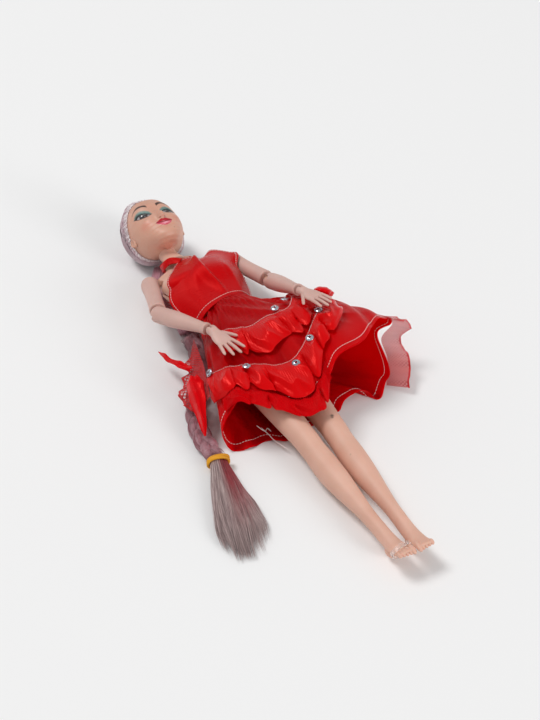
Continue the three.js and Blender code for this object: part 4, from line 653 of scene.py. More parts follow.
def paint_face(across, up):
    """Colour and cover of the paint, laid in layers from eyeshadow to the glint in the eye, with painted shade and
    highlights on the eyes and lips and painted shade under the jaw.
    """
    colour = np.zeros(across.shape + (3,)) + linear("d3a08a")
    cover = np.zeros(across.shape)

    def lay(mask, code, strength=1.0):
        nonlocal colour, cover
        m = np.clip(mask * strength, 0, 1)
        colour = colour * (1 - m[..., None]) + linear(code) * m[..., None]
        cover = np.maximum(cover, np.clip(m * 4, 0, 1))

    rolled = up + 0.09 * across
    for side in (-1, 1):
        out = (across + 3) * side - 28
        e = out / 16.0
        base = 1.2 + 4.2 * e
        bulge = np.clip(1 - e * e, 0, 1)
        upper = base + 7.4 * bulge**0.75
        lower = base - 4.6 * bulge**0.9
        inside = np.minimum(under(rolled - upper, 0.5), under(lower - rolled, 0.5)) * (np.abs(e) < 1)
        shade_top = base + 16.5 - 6.5 * (e + 0.1) ** 2
        shadow = under(rolled - shade_top, 4.0) * under(base + 4.0 * bulge - rolled, 2.0)
        shadow = shadow * np.clip((1.3 - np.abs(e - 0.05)) / 0.3, 0, 1)
        grain = 0.82 + 0.18 * np.sin(across * 9.1 + 3 * np.sin(up * 5.3)) * np.sin(up * 11.7)
        lay(shadow * grain, "1d7f7d", 0.95)
        lay(shadow * under(rolled - upper - 3.5, 2.5), "124a4c", 0.75)
        lay(inside, "a39a9c")
        iris = np.hypot((out + 0.6) * 0.98, rolled - 2.6)
        lay(inside * under(iris - 8.8, 0.6), "150d0b")
        lay(inside * under(iris - 7.8, 1.0) * under(rolled - 1.6, 3.0), "4a2f25", 0.7)
        lay(inside * under(iris - 4.2, 0.4), "050304")
        # Painted shade: a dark band inside the eye just under the upper lid, where the lid shades the eyeball.
        lay(inside * band(rolled - upper, 2.2, 1.2), "120c0e", 0.8)
        flick = upper + 1.2 * np.clip(e, 0, 1)
        tail = band(rolled - (base + 0.6 + 4.6 * (e - 0.9)), 1.6 - 1.3 * smooth(0.95, 1.45, e), 0.5)
        tail = tail * (e > 0.85) * (e < 1.45)
        lay(np.maximum(band(rolled - flick, 1.9, 0.6) * (np.abs(e) < 1.0), tail), "0a0708")
        comb = np.abs(((out - up * 0.55) / 2.3) % 1 - 0.5)
        reach = 2.0 + 3.8 * smooth(-0.6, 0.9, e)
        lash = under(comb - 0.24, 0.2) * under(rolled - upper - reach, 0.6) * under(upper - rolled, 0.4)
        lay(lash * (np.abs(e) < 1.1), "0a0708", 0.92)
        low_comb = np.abs(((out + up * 0.4) / 2.6) % 1 - 0.5)
        low_lash = under(low_comb - 0.18, 0.2) * under(lower - 2.6 - rolled, 0.5) * under(rolled - lower, 0.4)
        lay(low_lash * (e > -0.6) * (e < 1.0), "1a1214", 0.8)
        lay(band(rolled - lower, 0.7, 0.6) * (np.abs(e) < 1), "1d1315", 0.85)
        # Painted highlights: a white glint high in each eye and a smaller pale one low on its other side.
        glint = np.hypot((out + 0.6) + 2.2 * side, rolled - 5.6)
        lay(under(glint - 1.4, 0.5), "ffffff")
        lay(under(np.hypot((out + 0.6) - 2.4 * side, rolled + 0.4) - 0.8, 0.5), "cfd4dc", 0.7)
        b = (out - 0.5) / 18.5
        brow_line = 21.5 + 0.6 * b + 7.6 * (1 - np.clip(b + 0.08, -1, 1.1) ** 2)
        thick = 2.5 * np.clip(1.05 - smooth(-0.3, 1.05, b), 0, 1) + 0.5
        hairs = 0.92 + 0.08 * np.sin((out * 1.5 + up) * 5)
        lay(band(rolled - brow_line, thick, 0.8) * (np.abs(b) < 1) * hairs, "1d0d0c")
        lay(under(np.hypot((across * side - 5.0) / 1.5, up + 21.0) - 1.2, 1.4), "7a3a2c", 0.6)
        lay(bell(across * side - 38, 18, up + 20, 12), "cf6a58", 0.35)
    w = np.abs(across) / 18.5
    curve = -30.5 + 2.0 * w**2
    middle = curve - 0.6 * bell(w, 0.16)
    top = curve + np.clip(1 - w, 0, 1) ** 0.62 * (7.0 + 1.7 * bell(w - 0.3, 0.2) - 1.7 * bell(w, 0.13))
    bottom = curve - 8.0 * np.clip(1 - w**2.1, 0, 1) ** 0.7
    upper_lip = np.minimum(under(up - top, 0.6), under(middle - up, 0.5)) * (w < 1)
    lower_lip = np.minimum(under(up - middle, 0.5), under(bottom - up, 0.6)) * (w < 1)
    creases = 0.9 + 0.1 * np.sin(across * 4.3)
    lay(upper_lip, "b40a22")
    lay(lower_lip * creases, "d23a5c")
    # Painted highlight: a pale patch on the middle of the lower lip.
    lay(lower_lip * bell(across, 8, up + 34.2, 1.5), "f0b4c0", 0.85)
    lay(band(up - middle, 0.5, 0.5) * (w < 1.03), "3c0510", 0.9)
    # Painted shade under the jaw, tinted red as a painted reflection of the dress.
    jaw_shade_and_reflection = smooth(-52, -80, up) * smooth(130, 60, np.abs(across))
    lay(jaw_shade_and_reflection, "c8604c", 0.45)
    lay(under(np.hypot(across - 14, up + 45) - 0.8, 0.5), "3a2420", 0.9)
    return colour, cover, np.maximum(upper_lip, lower_lip)


def local_angles(obj):
    """The two head angles of every point of a mesh."""
    return angles((points_of(obj) - HEAD_AT) @ HEAD_AXES.T)


skin_angles = local_angles(head)
paint, cover, gloss = paint_face(*skin_angles)
point_attribute(head, "paint", "FLOAT_COLOR", np.concatenate([paint, cover[:, None]], axis=1))
point_attribute(head, "gloss", "FLOAT", gloss)
print("painted points:", int((cover > 0.5).sum()))

# %% [markdown]
# The ears are flattened ovals with a raised rim and a hollow inside it.
# %% Ears
def ear_points(side):
    """An oval lying on the side of the head: outward swell, rim and hollow, all by distance from the middle."""
    u, v = grid(73, 48)
    a = u * TURN
    far = np.sin(v * np.pi / 2)
    lean = 1 - 0.22 * np.clip(-np.sin(a), 0, 1)
    y = 3.2 * far * np.sin(a)
    z = 2.3 * far * np.cos(a) * lean
    rim = bell(far - 0.84, 0.13) * (0.55 + 0.45 * np.clip(-np.cos(a - 0.5), -0.4, 1))
    swell = (1.8 - 0.3 * side) * np.sqrt(np.clip(1 - far**4, 0, 1))
    out = swell * (0.55 + 0.45 * rim) - 0.5 * bell(far, 0.5)
    x = side * (0.373 * HEAD - 0.4 + out * (1 - 0.25 * np.cos(a)))
    return np.stack([x, y - 0.06 * HEAD, z - 0.02 * HEAD], -1)


ears = [
    sheet_mesh(f"{name}_ear", placed(ear_points(side), HEAD_AXES, HEAD_AT), (16, 8), outward=side * HEAD_AXES[0])
    for name, side in (("right", -1), ("left", 1))
]
print("ears:", len(ears))

# %% [markdown]
# The hair covers all that lies behind a slanting plane. It is combed from the hairline to the nape:
# each strand's direction turns evenly from its root on the hairline to the gathering point.
# %% Hair on the head
HAIR_NORMAL = unit([0, 0.551, -0.834])
NAPE = direction(180.0, -36.0)


def hair_depth(across, up):
    """How far the hair stands off the scalp: thin at the sides, thicker over the crown."""
    behind = (1 - np.cos(np.radians(across))) / 2 * (0.35 + 0.65 * smooth(-50, -5, up))
    high = np.sin(np.radians(np.clip(up, 0, 90)))
    return 1.0 + 1.6 * behind + 2.2 * high


def comb(round_share, along):
    """Direction of a strand: it starts on the hairline circle and turns evenly to the nape."""
    a = np.asarray(round_share) * TURN
    side = np.cross(HAIR_NORMAL, [1, 0, 0])
    start = np.cos(a)[..., None] * np.array([1, 0, 0]) + np.sin(a)[..., None] * side + 0.11 * HAIR_NORMAL
    start = unit(start)
    angle = np.arccos(np.clip(start @ NAPE, -1, 1))
    w = np.asarray(along)
    low = np.sin((1 - w) * angle) / np.sin(angle)
    high = np.sin(w * angle) / np.sin(angle)
    return low[..., None] * start + high[..., None] * NAPE


def hair_place(round_share, along, lift):
    """A point of the combed hair at a height above its own surface."""
    d = comb(round_share, along)
    across, up = angles(d)
    rise = smooth(-0.02, 0.13, along) * hair_depth(across, up)
    radius = head_radius(across, up, fine=False) + 0.12 + rise + lift
    return placed(d * radius[..., None], HEAD_AXES, HEAD_AT)


u, v = grid(361, 90)
ridge = 0.10 * np.sin(u * 150 * TURN + 2.0 * np.sin(v * 5)) + 0.12 * np.sin(u * 61 * TURN + 1.3)
hair_cap = sheet_mesh(
    "hair_cap_surface", hair_place(u, v, ridge * smooth(0, 0.1, v) * smooth(1, 0.85, v) - 0.12), (480, 60),
    outward=placed(comb(u, v), HEAD_AXES, [0, 0, 0]),
)
HEAD_HAIRS, PLUGS = 900, 130
root = (np.arange(HEAD_HAIRS) + rng.random(HEAD_HAIRS) * 0.8) / HEAD_HAIRS
start = np.where(rng.random(HEAD_HAIRS) < 0.5, 0, rng.random(HEAD_HAIRS) * 0.5)[:, None]
along = start + (1 - start) * np.linspace(0, 0.985, 12)[None, :]
drift = root[:, None] + 0.004 * rng.standard_normal((HEAD_HAIRS, 1)) * along
lift = 0.02 + 0.16 * rng.random((HEAD_HAIRS, 1)) * np.ones(12)
hair_strands = strands("hair_cap_strands", hair_place(drift, along, lift), 0.17)
# Hairline plugs: short loops of hair at the roots. Their paler colour is partly their own and partly a painted
# highlight along the hairline.
root = (np.arange(PLUGS) + 0.5 + 0.2 * rng.standard_normal(PLUGS)) / PLUGS
along = np.linspace(-0.02, 0.07, 6)[None, :] + 0.01 * rng.standard_normal((PLUGS, 1))
hair_plugs = strands("hairline_plugs", hair_place(root[:, None] + np.zeros((1, 6)), along, 0.2), 0.42)
print("head hairs:", HEAD_HAIRS + PLUGS)

# %% [markdown]
# The skirt runs from an oval waist, over a swelling line, to the wandering hem.
# It is lowered under the arms that rest on it.
# %% Skirt surface
WAIST_HEIGHT, SKIRT_WIDTH, SKIRT_LENGTH, SKIRT_HEIGHT = 35.5, 66, 90.5, 36
WAIST_X, WAIST_Z, WAIST_HALF_WIDTH, WAIST_HALF_DEPTH, ARM_EASE = 1.5, 12.8, 14.2, 10.5, 0.03
HEM = np.array([
    [-0.04, 0.998, 0.61], [0.11, 0.992, 0.67], [0.25, 0.93, 0.78], [0.37, 0.875, 0.89], [0.55, 0.855, 0.97],
    [0.66, 0.822, 0.97], [0.82, 0.715, 0.89], [0.985, 0.67, 0.78], [1.0, 0.68, 0.67], [0.94, 0.672, 0.61],
    [0.9, 0.674, 0.53], [0.88, 0.75, 0.39], [0.847, 0.866, 0.22], [0.806, 0.885, 0.11], [0.697, 0.95, 0],
    [0.62, 0.918, 0.08], [0.538, 0.897, 0.17], [0.426, 0.901, 0.08], [0.347, 0.931, 0], [0.173, 0.977, 0],
    [0.058, 0.968, 0], [-0.147, 1.0, 0], [-0.282, 0.95, 0], [-0.402, 0.96, 0], [-0.51, 0.946, 0],
    [-0.588, 0.913, 0.08], [-0.603, 0.89, 0.22], [-0.57, 0.872, 0.36], [-0.495, 0.843, 0.53],
    [-0.432, 0.838, 0.69], [-0.38, 0.864, 0.69], [-0.256, 0.906, 0.64], [-0.16, 0.95, 0.61],
])
SWELL = np.array([
    [0.03, 0.37, 0.97], [0.576, 0.348, 1.0], [0.94, 0.293, 0.64], [0.697, 0.448, 0.055],
    [0.03, 0.448, -0.08], [-0.3, 0.448, -0.1], [-0.409, 0.348, 0.36], [-0.303, 0.359, 0.86],
])


def skirt_place(shares):
    """Shares of spread, length and rise as a place in millimetres."""
    return np.array([0, WAIST_HEIGHT, 0]) + np.asarray(shares) * [SKIRT_WIDTH, -SKIRT_LENGTH, SKIRT_HEIGHT]


hem_curve = even(spline(skirt_place(HEM), closed=True), closed=True)
swell_curve = spline(skirt_place(SWELL), closed=True)
ARM_LINES = [
    (f[first][1], f[second][1], half, below)
    for f in ARMS.values()
    for first, second, half, below in (("elbow", "wrist", 3.375, 7.5), ("hand", "tip", PALM_WIDTH, 5.55))
]


def skirt(around, down):
    """A point of the skirt; around goes once round from the front middle, down from waist to hem."""
    around, down = np.broadcast_arrays(np.asarray(around, float) % 1, np.asarray(down, float))
    angle = TURN / 4 - around * TURN
    waist = np.stack([
        WAIST_X + WAIST_HALF_WIDTH * rounded(np.cos(angle), SQUARENESS),
        np.full(around.shape, WAIST_HEIGHT),
        WAIST_Z + WAIST_HALF_DEPTH * rounded(np.sin(angle), SQUARENESS),
    ], -1)
    t = down[..., None]
    p = (1 - t) ** 2 * waist + 2 * t * (1 - t) * swell_curve(around) + t**2 * hem_curve(around)
    limit = np.full(around.shape, 1e9)
    for start, end, half, below in ARM_LINES:
        line = (end - start)[:2]
        share = np.clip(((p[..., :2] - start[:2]) @ line) / (line @ line), 0, 1)
        near = start + share[..., None] * (end - start)
        away = np.maximum(np.hypot(p[..., 0] - near[..., 0], p[..., 1] - near[..., 1]) - half, 0)
        limit = np.minimum(limit, near[..., 2] - below + ARM_EASE * away**2)
    over = p[..., 2] - limit
    p[..., 2] = np.maximum(p[..., 2] - 0.5 * (over + np.hypot(over, 2)), 0)
    return p


def skirt_out(around, down):
    """The outward direction of the skirt."""
    h = 0.002
    along = skirt(around + h, down) - skirt(around - h, down)
    fall = skirt(around, np.asarray(down) + h) - skirt(around, np.asarray(down) - h)
    return unit(np.cross(fall, along))


def off_skirt(around, down, lift):
    """A point standing off the skirt by a height."""
    return skirt(around, down) + skirt_out(around, down) * np.asarray(lift)[..., None]


print("skirt hem length:", round(distances(hem_curve(np.linspace(0, 1, 500)))[-1], 1), "mm")

# %% [markdown]
# Each layer of the skirt is a grid over that surface with its own folds: soft gathers at the
# seam it hangs from, and wider waves toward its free edge.
# %% Skirt layers
def thicken(obj, thickness):
    """Gives a sheet its cloth thickness, half to each side."""
    solid = obj.modifiers.new("thickness", "SOLIDIFY")
    solid.thickness, solid.offset = thickness * MM, 0
    return obj


def underskirt_folds(around, down):
    """Small gathers under the waist seam, creased cloth below them and long folds toward the hem."""
    gathers = 0.28 * np.sin(around * 58 * TURN + 2 * np.sin(around * 5 * TURN))
    gathers = gathers * smooth(0, 0.06, down) * smooth(0.5, 0.1, down)
    x, y = np.cos(around * TURN) * 34 + down * 30, np.sin(around * TURN) * 34 - down * 50
    creased = crumple(x, y, 0.42, 3, 0.8) * smooth(0.03, 0.12, down) * smooth(0.9, 0.6, down)
    ripple = 0.8 * np.sin(around * 15 * TURN + 3 * down + 1.5 * np.sin(around * 4 * TURN)) * smooth(0.2, 0.9, down)
    return gathers + 0.75 * creased + ripple


u, v = grid(441, 108)
base = above_floor(off_skirt(u, v, underskirt_folds(u, v) - 0.4), 0.35)
underskirt = thicken(sheet_mesh("underskirt_cloth", base, (520, 92), outward=skirt_out(u, v)), 0.3)

TIERS = {
    "upper_ruffle": dict(
        start=-0.12, end=0.19, deep=0.23, waves=6, lift=0.5, wave=3.2, length=80, seed=4, flat=20, map=150, cloth=0.22,
        top=[[0, 0.4], [0.12, 0.4], [0.25, 0.46], [0.38, 0.44], [0.5, 0.46], [0.65, 0.36], [1, 0.24]],
    ),
    "lower_ruffle": dict(
        start=-0.17, end=0.18, deep=0.2, waves=7, lift=1.0, wave=3.6, length=120, seed=9, flat=18, map=150, cloth=0.22,
        top=[[0, 0.65], [0.18, 0.75], [0.33, 0.74], [0.45, 0.77], [0.55, 0.78], [0.7, 0.73], [0.83, 0.64], [1, 0.54]],
    ),
    "sheer_ruffle": dict(
        start=-0.14, end=0.08, deep=0.11, waves=5, lift=0.5, wave=2.0, length=80, seed=14, flat=12, map=90, cloth=0.12,
        top=[[0, 0.88], [0.18, 0.94], [0.41, 0.94], [0.64, 0.97], [0.77, 0.97], [1, 0.93]],
    ),
}


def tier_around(tier, share):
    """Where a share of a tier's run lies round the skirt."""
    return tier["start"] + (tier["end"] - tier["start"]) * share


def tier_place(tier, share, fall, lift=0.0):
    """A point of a puffed tier: each lobe swells from the gathered seam and turns under at its free edge."""
    share, fall = np.broadcast_arrays(np.asarray(share, float), np.asarray(fall, float))
    waves, seed = tier["waves"], tier["seed"]
    sizes = np.random.default_rng(seed).uniform(0.55, 1.25, waves + 3)
    place = share * waves + 0.3 * np.sin(share * 13 + seed) + 0.14 * fall * np.sin(share * 31)
    place = np.clip(place, 0, waves + 1)
    lobe = np.abs(np.sin(place * np.pi)) ** 0.5 * sizes[place.astype(int)]
    lobe = lobe * smooth(-0.1, 0.7, fall) + 0.75 * smooth(0.7, -0.1, fall)
    scallop = 0.5 - 0.5 * np.cos(place * TURN)
    edge = 0.84 + 0.24 * np.sqrt(scallop + 0.02) + 0.05 * np.sin(place * 9)
    down = spline(tier["top"])(share)[..., 1] + tier["deep"] * (fall - 0.06 * smooth(0.8, 1, fall)) * edge
    swell = np.sin(np.pi * np.clip(fall, 0, 1) ** 0.75 * 0.9) ** 0.8
    creased = 0.75 * crumple(share * tier["length"], fall * 15, 0.5, seed, 0.6)
    creased = creased * np.sin(np.pi * np.clip(fall * 0.85 + 0.08, 0, 1))
    gathers = 0.25 * (1 - fall) ** 2 * np.sin(share * tier["length"] * 4.5)
    pinch = 0.32 * fall * np.sin(place * TURN) / (TURN * waves)
    height = np.maximum(tier["lift"] + tier["wave"] * swell * lobe + creased + gathers, 0.35) + lift
    return off_skirt(tier_around(tier, share - pinch), down, height)


tier_objects = {}
u, v = grid(441, 52)
for name, tier in TIERS.items():
    points = tier_place(tier, u, v)
    obj = sheet_mesh(f"{name}_cloth", points, (tier["map"], 18), outward=skirt_out(tier_around(tier, u), 0.6))
    tier_objects[name] = thicken(obj, tier["cloth"])


def strip(sewn, free, wave, waves):
    """A strip between two edges, rippled more toward the free one."""
    u, v = grid(241, 50)
    p = spline(sewn)(u) * (1 - v[..., None]) + spline(free)(u) * v[..., None]
    ripple = wave * v * np.sin(u * waves * TURN) + 0.4 * wave * v * np.sin(u * waves * 2.6 * TURN + 1)
    return p + grid_normals(p) * ripple[..., None]


def raw_place(shares):
    """Shares of spread, length and rise measured straight from the origin."""
    return np.asarray(shares) * [SKIRT_WIDTH, SKIRT_LENGTH, SKIRT_HEIGHT]


left_sewn = off_skirt(np.array([0.262, 0.3, 0.34, 0.38, 0.43]), np.ones(5), np.full(5, 1.0))
NETS = {
    "net_flounce_right": (
        raw_place([[-0.37, 0.2, 0.46], [-0.44, -0.03, 0.5], [-0.5, -0.17, 0.53], [-0.56, -0.3, 0.52]]),
        raw_place([[-0.43, 0.17, 0.24], [-0.56, 0.02, 0.24], [-0.7, -0.13, 0.24], [-0.68, -0.3, 0.27]]),
    ),
    "net_flounce_left": (left_sewn, left_sewn + raw_place([
        [0.11, -0.02, -0.04], [0.13, -0.05, -0.06], [0.13, -0.05, 0], [0.14, -0.07, 0.03], [0.12, -0.1, 0.06],
    ])),
}
NET_LENGTH = 13
net_objects = {}
for name, (sewn, free) in NETS.items():
    points = strip(sewn, free, 1.5, 4.5)
    size, outward = (distances(free)[-1], NET_LENGTH), np.array([np.sign(sewn[0, 0]), 0, 0.3])
    net_objects[name] = sheet_mesh(f"{name}_net", points, size, outward=outward)

RIBBONS = {
    "ribbon_right_upper": ([[-35, -2, 14.6], [-37.5, 5, 13.6], [-39.5, 13, 11.2], [-41.5, 24.5, 9.6]], 2.3, 0.5),
    "ribbon_right_lower": ([[-38.5, -13, 19.5], [-41, -20, 18.6], [-43.5, -29, 15.4], [-47, -42, 9.6]], 4.2, 0.9),
}


def ribbon_points(line, half, fold):
    """A satin ribbon along a curve: it is cupped, folded once along its length and tapers to a tip."""
    u, v = grid(141, 41)
    path = spline(line)(np.linspace(0, 1, 141))
    ahead = unit(np.gradient(path, axis=0))
    side = unit(np.cross(ahead, UP))
    rise = np.cross(side, ahead)
    across = (2 * v - 1) * half * np.interp(u, [0, 0.15, 0.55, 0.9, 1], [0.6, 1, 0.9, 0.4, 0.1])
    swell = np.cos((2 * v - 1) * np.pi / 2) * half * 0.55 + fold * np.sin(v * 9 + u * 4) + 0.5 * np.sin(u * 15 + 2 * v)
    swell = swell + 0.35 * crumple(u * 30, v * half * 2, 0.7, 21, 0.6)
    swell = swell[..., None] * rise[:, None] * smooth(1.05, 0.8, u)[..., None]
    return path[:, None] + across[..., None] * side[:, None] + swell


ribbon_objects = {}
for name, (line, half, fold) in RIBBONS.items():
    points = ribbon_points(line, half, fold)
    obj = sheet_mesh(f"{name}_satin", points, (28, 2 * half), outward=np.array([-0.3, 0, 1]))
    ribbon_objects[name] = thicken(obj, 0.25)
print("skirt pieces:", 1 + len(tier_objects) + len(net_objects) + len(ribbon_objects))

# %% [markdown]
# A bow of two loops and a knot sits by the left hand. Ring-shaped stones are sewn along the seams.
# %% Bow and stones
def bow_loop(side):
    """One puffed loop: a pillow pinched at the knot, with pleats that fan from it."""
    u, v = grid(97, 60)
    a, pinch = u * TURN, smooth(-0.1, 0.75, v)
    swell = np.sqrt(np.clip(np.sin(v * np.pi), 0, 1))
    pleat = 1 + 0.1 * np.sin(a * 7) * (1 - v)
    tall, deep = ((least + more * pinch) * swell * pleat for least, more in ((1.1, 2.6), (0.9, 1.0)))
    return np.stack([side * (0.6 + 9.6 * v), tall * np.cos(a), deep * np.sin(a)], -1)


def box_middle(points):
    """The middle of the box round some points."""
    return (points.min(0) + points.max(0)) / 2


bow_at = box_middle(points_of(frame["nodes"]["bow_left"])) + [0, 0, 1.0]
bow_axes = limb_axes([0.75, -0.6, 0], skirt_out(np.array(0.225), np.array(0.47)))
bow = [
    solid_mesh(f"bow_{part}", placed(points, bow_axes, bow_at), size)
    for part, points, size in (
        ("loop_right", 1.3 * bow_loop(-1), (20, 11)),
        ("loop_left", 1.3 * bow_loop(1), (20, 11)),
        ("knot", 1.2 * ball_grid(49, 30) * [1.7, 1.9, 1.9], (10, 6)),
    )
]


def node_frame(node):
    """Middle of a CAD piece, and three axes: the second is the way its points spread least, turned upward."""
    co = points_of(frame["nodes"][node])
    _, vectors = np.linalg.eigh(np.cov((co - co.mean(0)).T))
    normal = vectors[:, 0] * np.sign(vectors[2, 0])
    return box_middle(co), limb_axes(-normal, [1, 0.2, 0])


def stone_points():
    """A faceted ring: a rounded band whose face is broken into sixteen flats, sunk to a small hole."""
    u, v = grid(65, 29)
    a = u * TURN
    profile = spline(np.array([
        [0.72, 0.1], [0.74, 0.42], [0.95, 0.5], [1.45, 0.34], [1.95, 0.05], [2.08, -0.15], [2.05, -0.38],
        [1.5, -0.42], [0.8, -0.4], [0.72, -0.2], [0.72, 0.1],
    ]))(v)
    facet = 1 - 0.035 * np.abs(np.sin(a * 8)) * (profile[..., 1] > 0)
    r = profile[..., 0] * facet
    return np.stack([r * np.cos(a), profile[..., 1], r * np.sin(a)], -1)


STONE_LIFT = 0.9
stones = {}
for number in range(1, 8):
    middle, axes = node_frame(f"sequin_{number}")
    points = placed(stone_points(), axes, middle + STONE_LIFT * axes[1])
    stones[f"sequin_{number}"] = solid_mesh(f"stone_{number}", points, (12, 4))
print("stones:", len(stones), "bow at", np.round(bow_at, 1).tolist())

# %% [markdown]
# The bodice is a halter front over the chest, three back panels and a neck strap.
# It is pushed out wherever it would sink into the torso.
# %% Bodice
ARM_GAP, BODICE_LENGTH, BACK_LENGTH, BACK_LOW, BACK_HIGH = 0.9, 42, 27, 35.9, 0.72
BODICE = [
    [[-0.88, 0.30, -0.02], [-0.53, 0.318, 0.82], [0.05, 0.368, 0.92], [0.5, 0.39, 0.72], [0.84, 0.405, 0.12]],
    [[-1.05, 0.55, 0.22], [-0.6, 0.53, 0.86], [0.02, 0.52, 1.0], [0.6, 0.51, 0.86], [0.96, 0.5, 0.12]],
    [[-0.9, 0.66, 0.54], [-0.5, 0.64, 1.08], [0, 0.64, 1.22], [0.62, 0.625, 1.08], [1.04, 0.6, 0.2]],
    [[-0.72, 0.735, 0.7], [-0.36, 0.74, 1.04], [0.08, 0.735, 1.1], [0.6, 0.73, 0.98], [1.12, 0.69, 0.36]],
    [[-0.52, 0.815, 0.62], [-0.2, 0.81, 0.84], [0.18, 0.79, 0.9], [0.66, 0.82, 0.76], [1.2, 0.75, 0.48]],
    [[-0.16, 0.905, 0.54], [0.05, 0.86, 0.74], [0.26, 0.795, 0.84], [0.67, 0.88, 0.68], [1.24, 0.81, 0.48]],
]
bodice_lines = [spline(np.array(row) * [TORSO_WIDTH, TORSO_LENGTH, TORSO_DEPTH] + [0, 0, JOINT_LINE]) for row in BODICE]


def clear_of_torso(p, gap):
    """Points inside the torso's section, grown by the gap, are moved out to its outline."""
    width, depth, middle = torso_size(p[..., 1], gap)
    x, z = p[..., 0] / width, (p[..., 2] - middle) / depth
    inside = (np.abs(x) ** SQUARENESS + np.abs(z) ** SQUARENESS) ** (1 / SQUARENESS)
    push = np.where(inside < 1, 1 / np.maximum(inside, 0.2), 1)
    return np.stack([p[..., 0] * push, p[..., 1], middle + (p[..., 2] - middle) * push], -1)


def clear_of_arm(p):
    """Points too near the top of the left upper arm are moved straight away from its middle line."""
    axes, start = ARMS["left"]["upper"]
    t = np.clip((p - start) @ -axes[1], 0, 18)
    near = start - t[..., None] * axes[1]
    away = np.linalg.norm(p - near, axis=-1, keepdims=True)
    return near + (p - near) * np.maximum((SHOULDER_BALL + ARM_GAP) / np.maximum(away, 1e-6), 1)


def bodice_place(a, u, lift):
    """Points of the bodice front: a runs from the doll's right to left, u from waist to neckline."""
    lines = np.stack([line(a) for line in bodice_lines])
    p = np.moveaxis(spline(lines)(u), 0, 1)
    return clear_of_arm(clear_of_torso(p, 0.7 + lift) + upward_normals(p) * lift)


bodice_base = bodice_place(np.linspace(0, 1, 181), np.linspace(0, 1, 151), 0.1)
across, rise = grid(181, 151)
crease = across - 0.56 + 0.17 * rise
fold = 2.7 * np.exp(-np.abs(crease / np.where(crease < 0, 0.06, 0.026)) ** 1.7)
fold *= smooth(0.0, 0.25, rise) * smooth(1.02, 0.7, rise)
fold += 0.5 * bell(across - 0.30 - 0.2 * rise, 0.05) * smooth(0.0, 0.3, rise) * smooth(0.95, 0.5, rise)
fold += 0.45 * bell(across - 0.78 + 0.12 * rise, 0.04) * smooth(0.0, 0.1, rise) * smooth(0.7, 0.3, rise)
fold += 0.3 * crumple(across * 40, rise * 40, 0.3, 5) * np.sin(rise * np.pi)
bodice_points = clear_of_arm(bodice_base + upward_normals(bodice_base) * np.maximum(fold, -0.1)[..., None])
bodice = sheet_mesh("bodice_front_cloth", bodice_points, (52, BODICE_LENGTH), outward=np.array([0, 0, 1.0]))
thicken(bodice, 0.35)


def back_panel(name, low, high):
    """A flat back panel: the torso's outline under the back, between two sides."""
    u, v = grid(61, 71)
    height = BACK_LOW + v * (BACK_HIGH * TORSO_LENGTH - BACK_LOW)
    width, depth, middle = torso_size(height, 0.75)
    reach = width * 0.985
    x = np.clip(low + u * (high - low), -reach, reach)
    z = middle - depth * np.clip(1 - np.abs(x / width) ** SQUARENESS, 0, 1) ** (1 / SQUARENESS)
    z = np.minimum(z, JOINT_LINE - 0.2 * TORSO_DEPTH)
    points = np.stack([x, height, z + 0.12 * np.sin(height * 0.9) * np.sin(x)], -1)
    obj = sheet_mesh(name, points, (abs(high - low), BACK_LENGTH), outward=np.array([0, 0, -1.0]))
    return thicken(obj, 0.4), points


BACK_PANELS = (("bodice_back_right", -19, -3.1), ("bodice_back_placket", -2.9, 2.9), ("bodice_back_left", 3.1, 19))
back_objects = {}
for node, low, high in BACK_PANELS:
    back_objects[node], points = back_panel(f"{node}_cloth", low, high)


STRAP = [
    [-4.4, 76.6, 20.8], [-9.0, 81.4, 18.8], [-12.4, 84.2, 13.6], [-10.4, 87.0, 8.6], [-4.9, 88.0, 6.6],
    [0.2, 88.0, 8.2], [2.7, 88.0, 11.8], [3.4, 86.0, 13.8], [4.6, 82.2, 15.6], [6.6, 78.6, 16.6], [8.4, 75.4, 17.4],
    [9.6, 73.0, 18.2],
]


def strap_points():
    """The halter strap: a band from one corner of the neckline round behind the neck to the other."""
    along, share = np.linspace(0, 1, 161), np.linspace(-0.5, 0.5, 17)
    path = spline(STRAP)(along)
    off = path - NECK_ROOT
    out = unit(off - (off @ NECK_AXIS)[:, None] * NECK_AXIS)
    wide = unit(np.cross(unit(np.gradient(path, axis=0)), out))
    bulge = 0.25 * np.cos(share * np.pi)[None, :] + 0.18 * np.sin(along * 55)[:, None] * np.cos(share * 4)[None, :]
    breadth = np.interp(along, [0, 0.4, 0.55, 1], [4.2, 4.2, 2.6, 2.2])[:, None, None]
    points = path[:, None] + breadth * share[None, :, None] * wide[:, None] + out[:, None] * bulge[..., None]
    return points, np.broadcast_to(out[:, None], points.shape)


strap, spoke = strap_points()
strap_object = thicken(sheet_mesh("halter_strap_cloth", strap, (52, 4.2), outward=spoke), 0.4)
print("bodice pieces:", 2 + len(back_objects))

# %% [markdown]
# White stitches run along the seams: each is one short thread that dips into the cloth at both ends.
# %% Stitches
PITCH, THREAD = 1.5, 0.15


def stitch_run(name, points, out):
    """Cuts a line of points into stitches and raises the middle of each along the outward direction."""
    length = distances(points)
    count = max(int(length[-1] / PITCH), 2)
    at = (np.arange(count)[:, None] + np.linspace(0.08, 0.86, 6)[None, :]) / count * length[-1]
    path, rise = (np.stack([np.interp(at, length, part[:, k]) for k in range(3)], -1) for part in (points, out))
    arch = np.sin(np.linspace(0, np.pi, 6))[None, :, None] * 0.16 - 0.02
    return strands(name, path + rise * arch, THREAD, taper=0.2, sides=5)


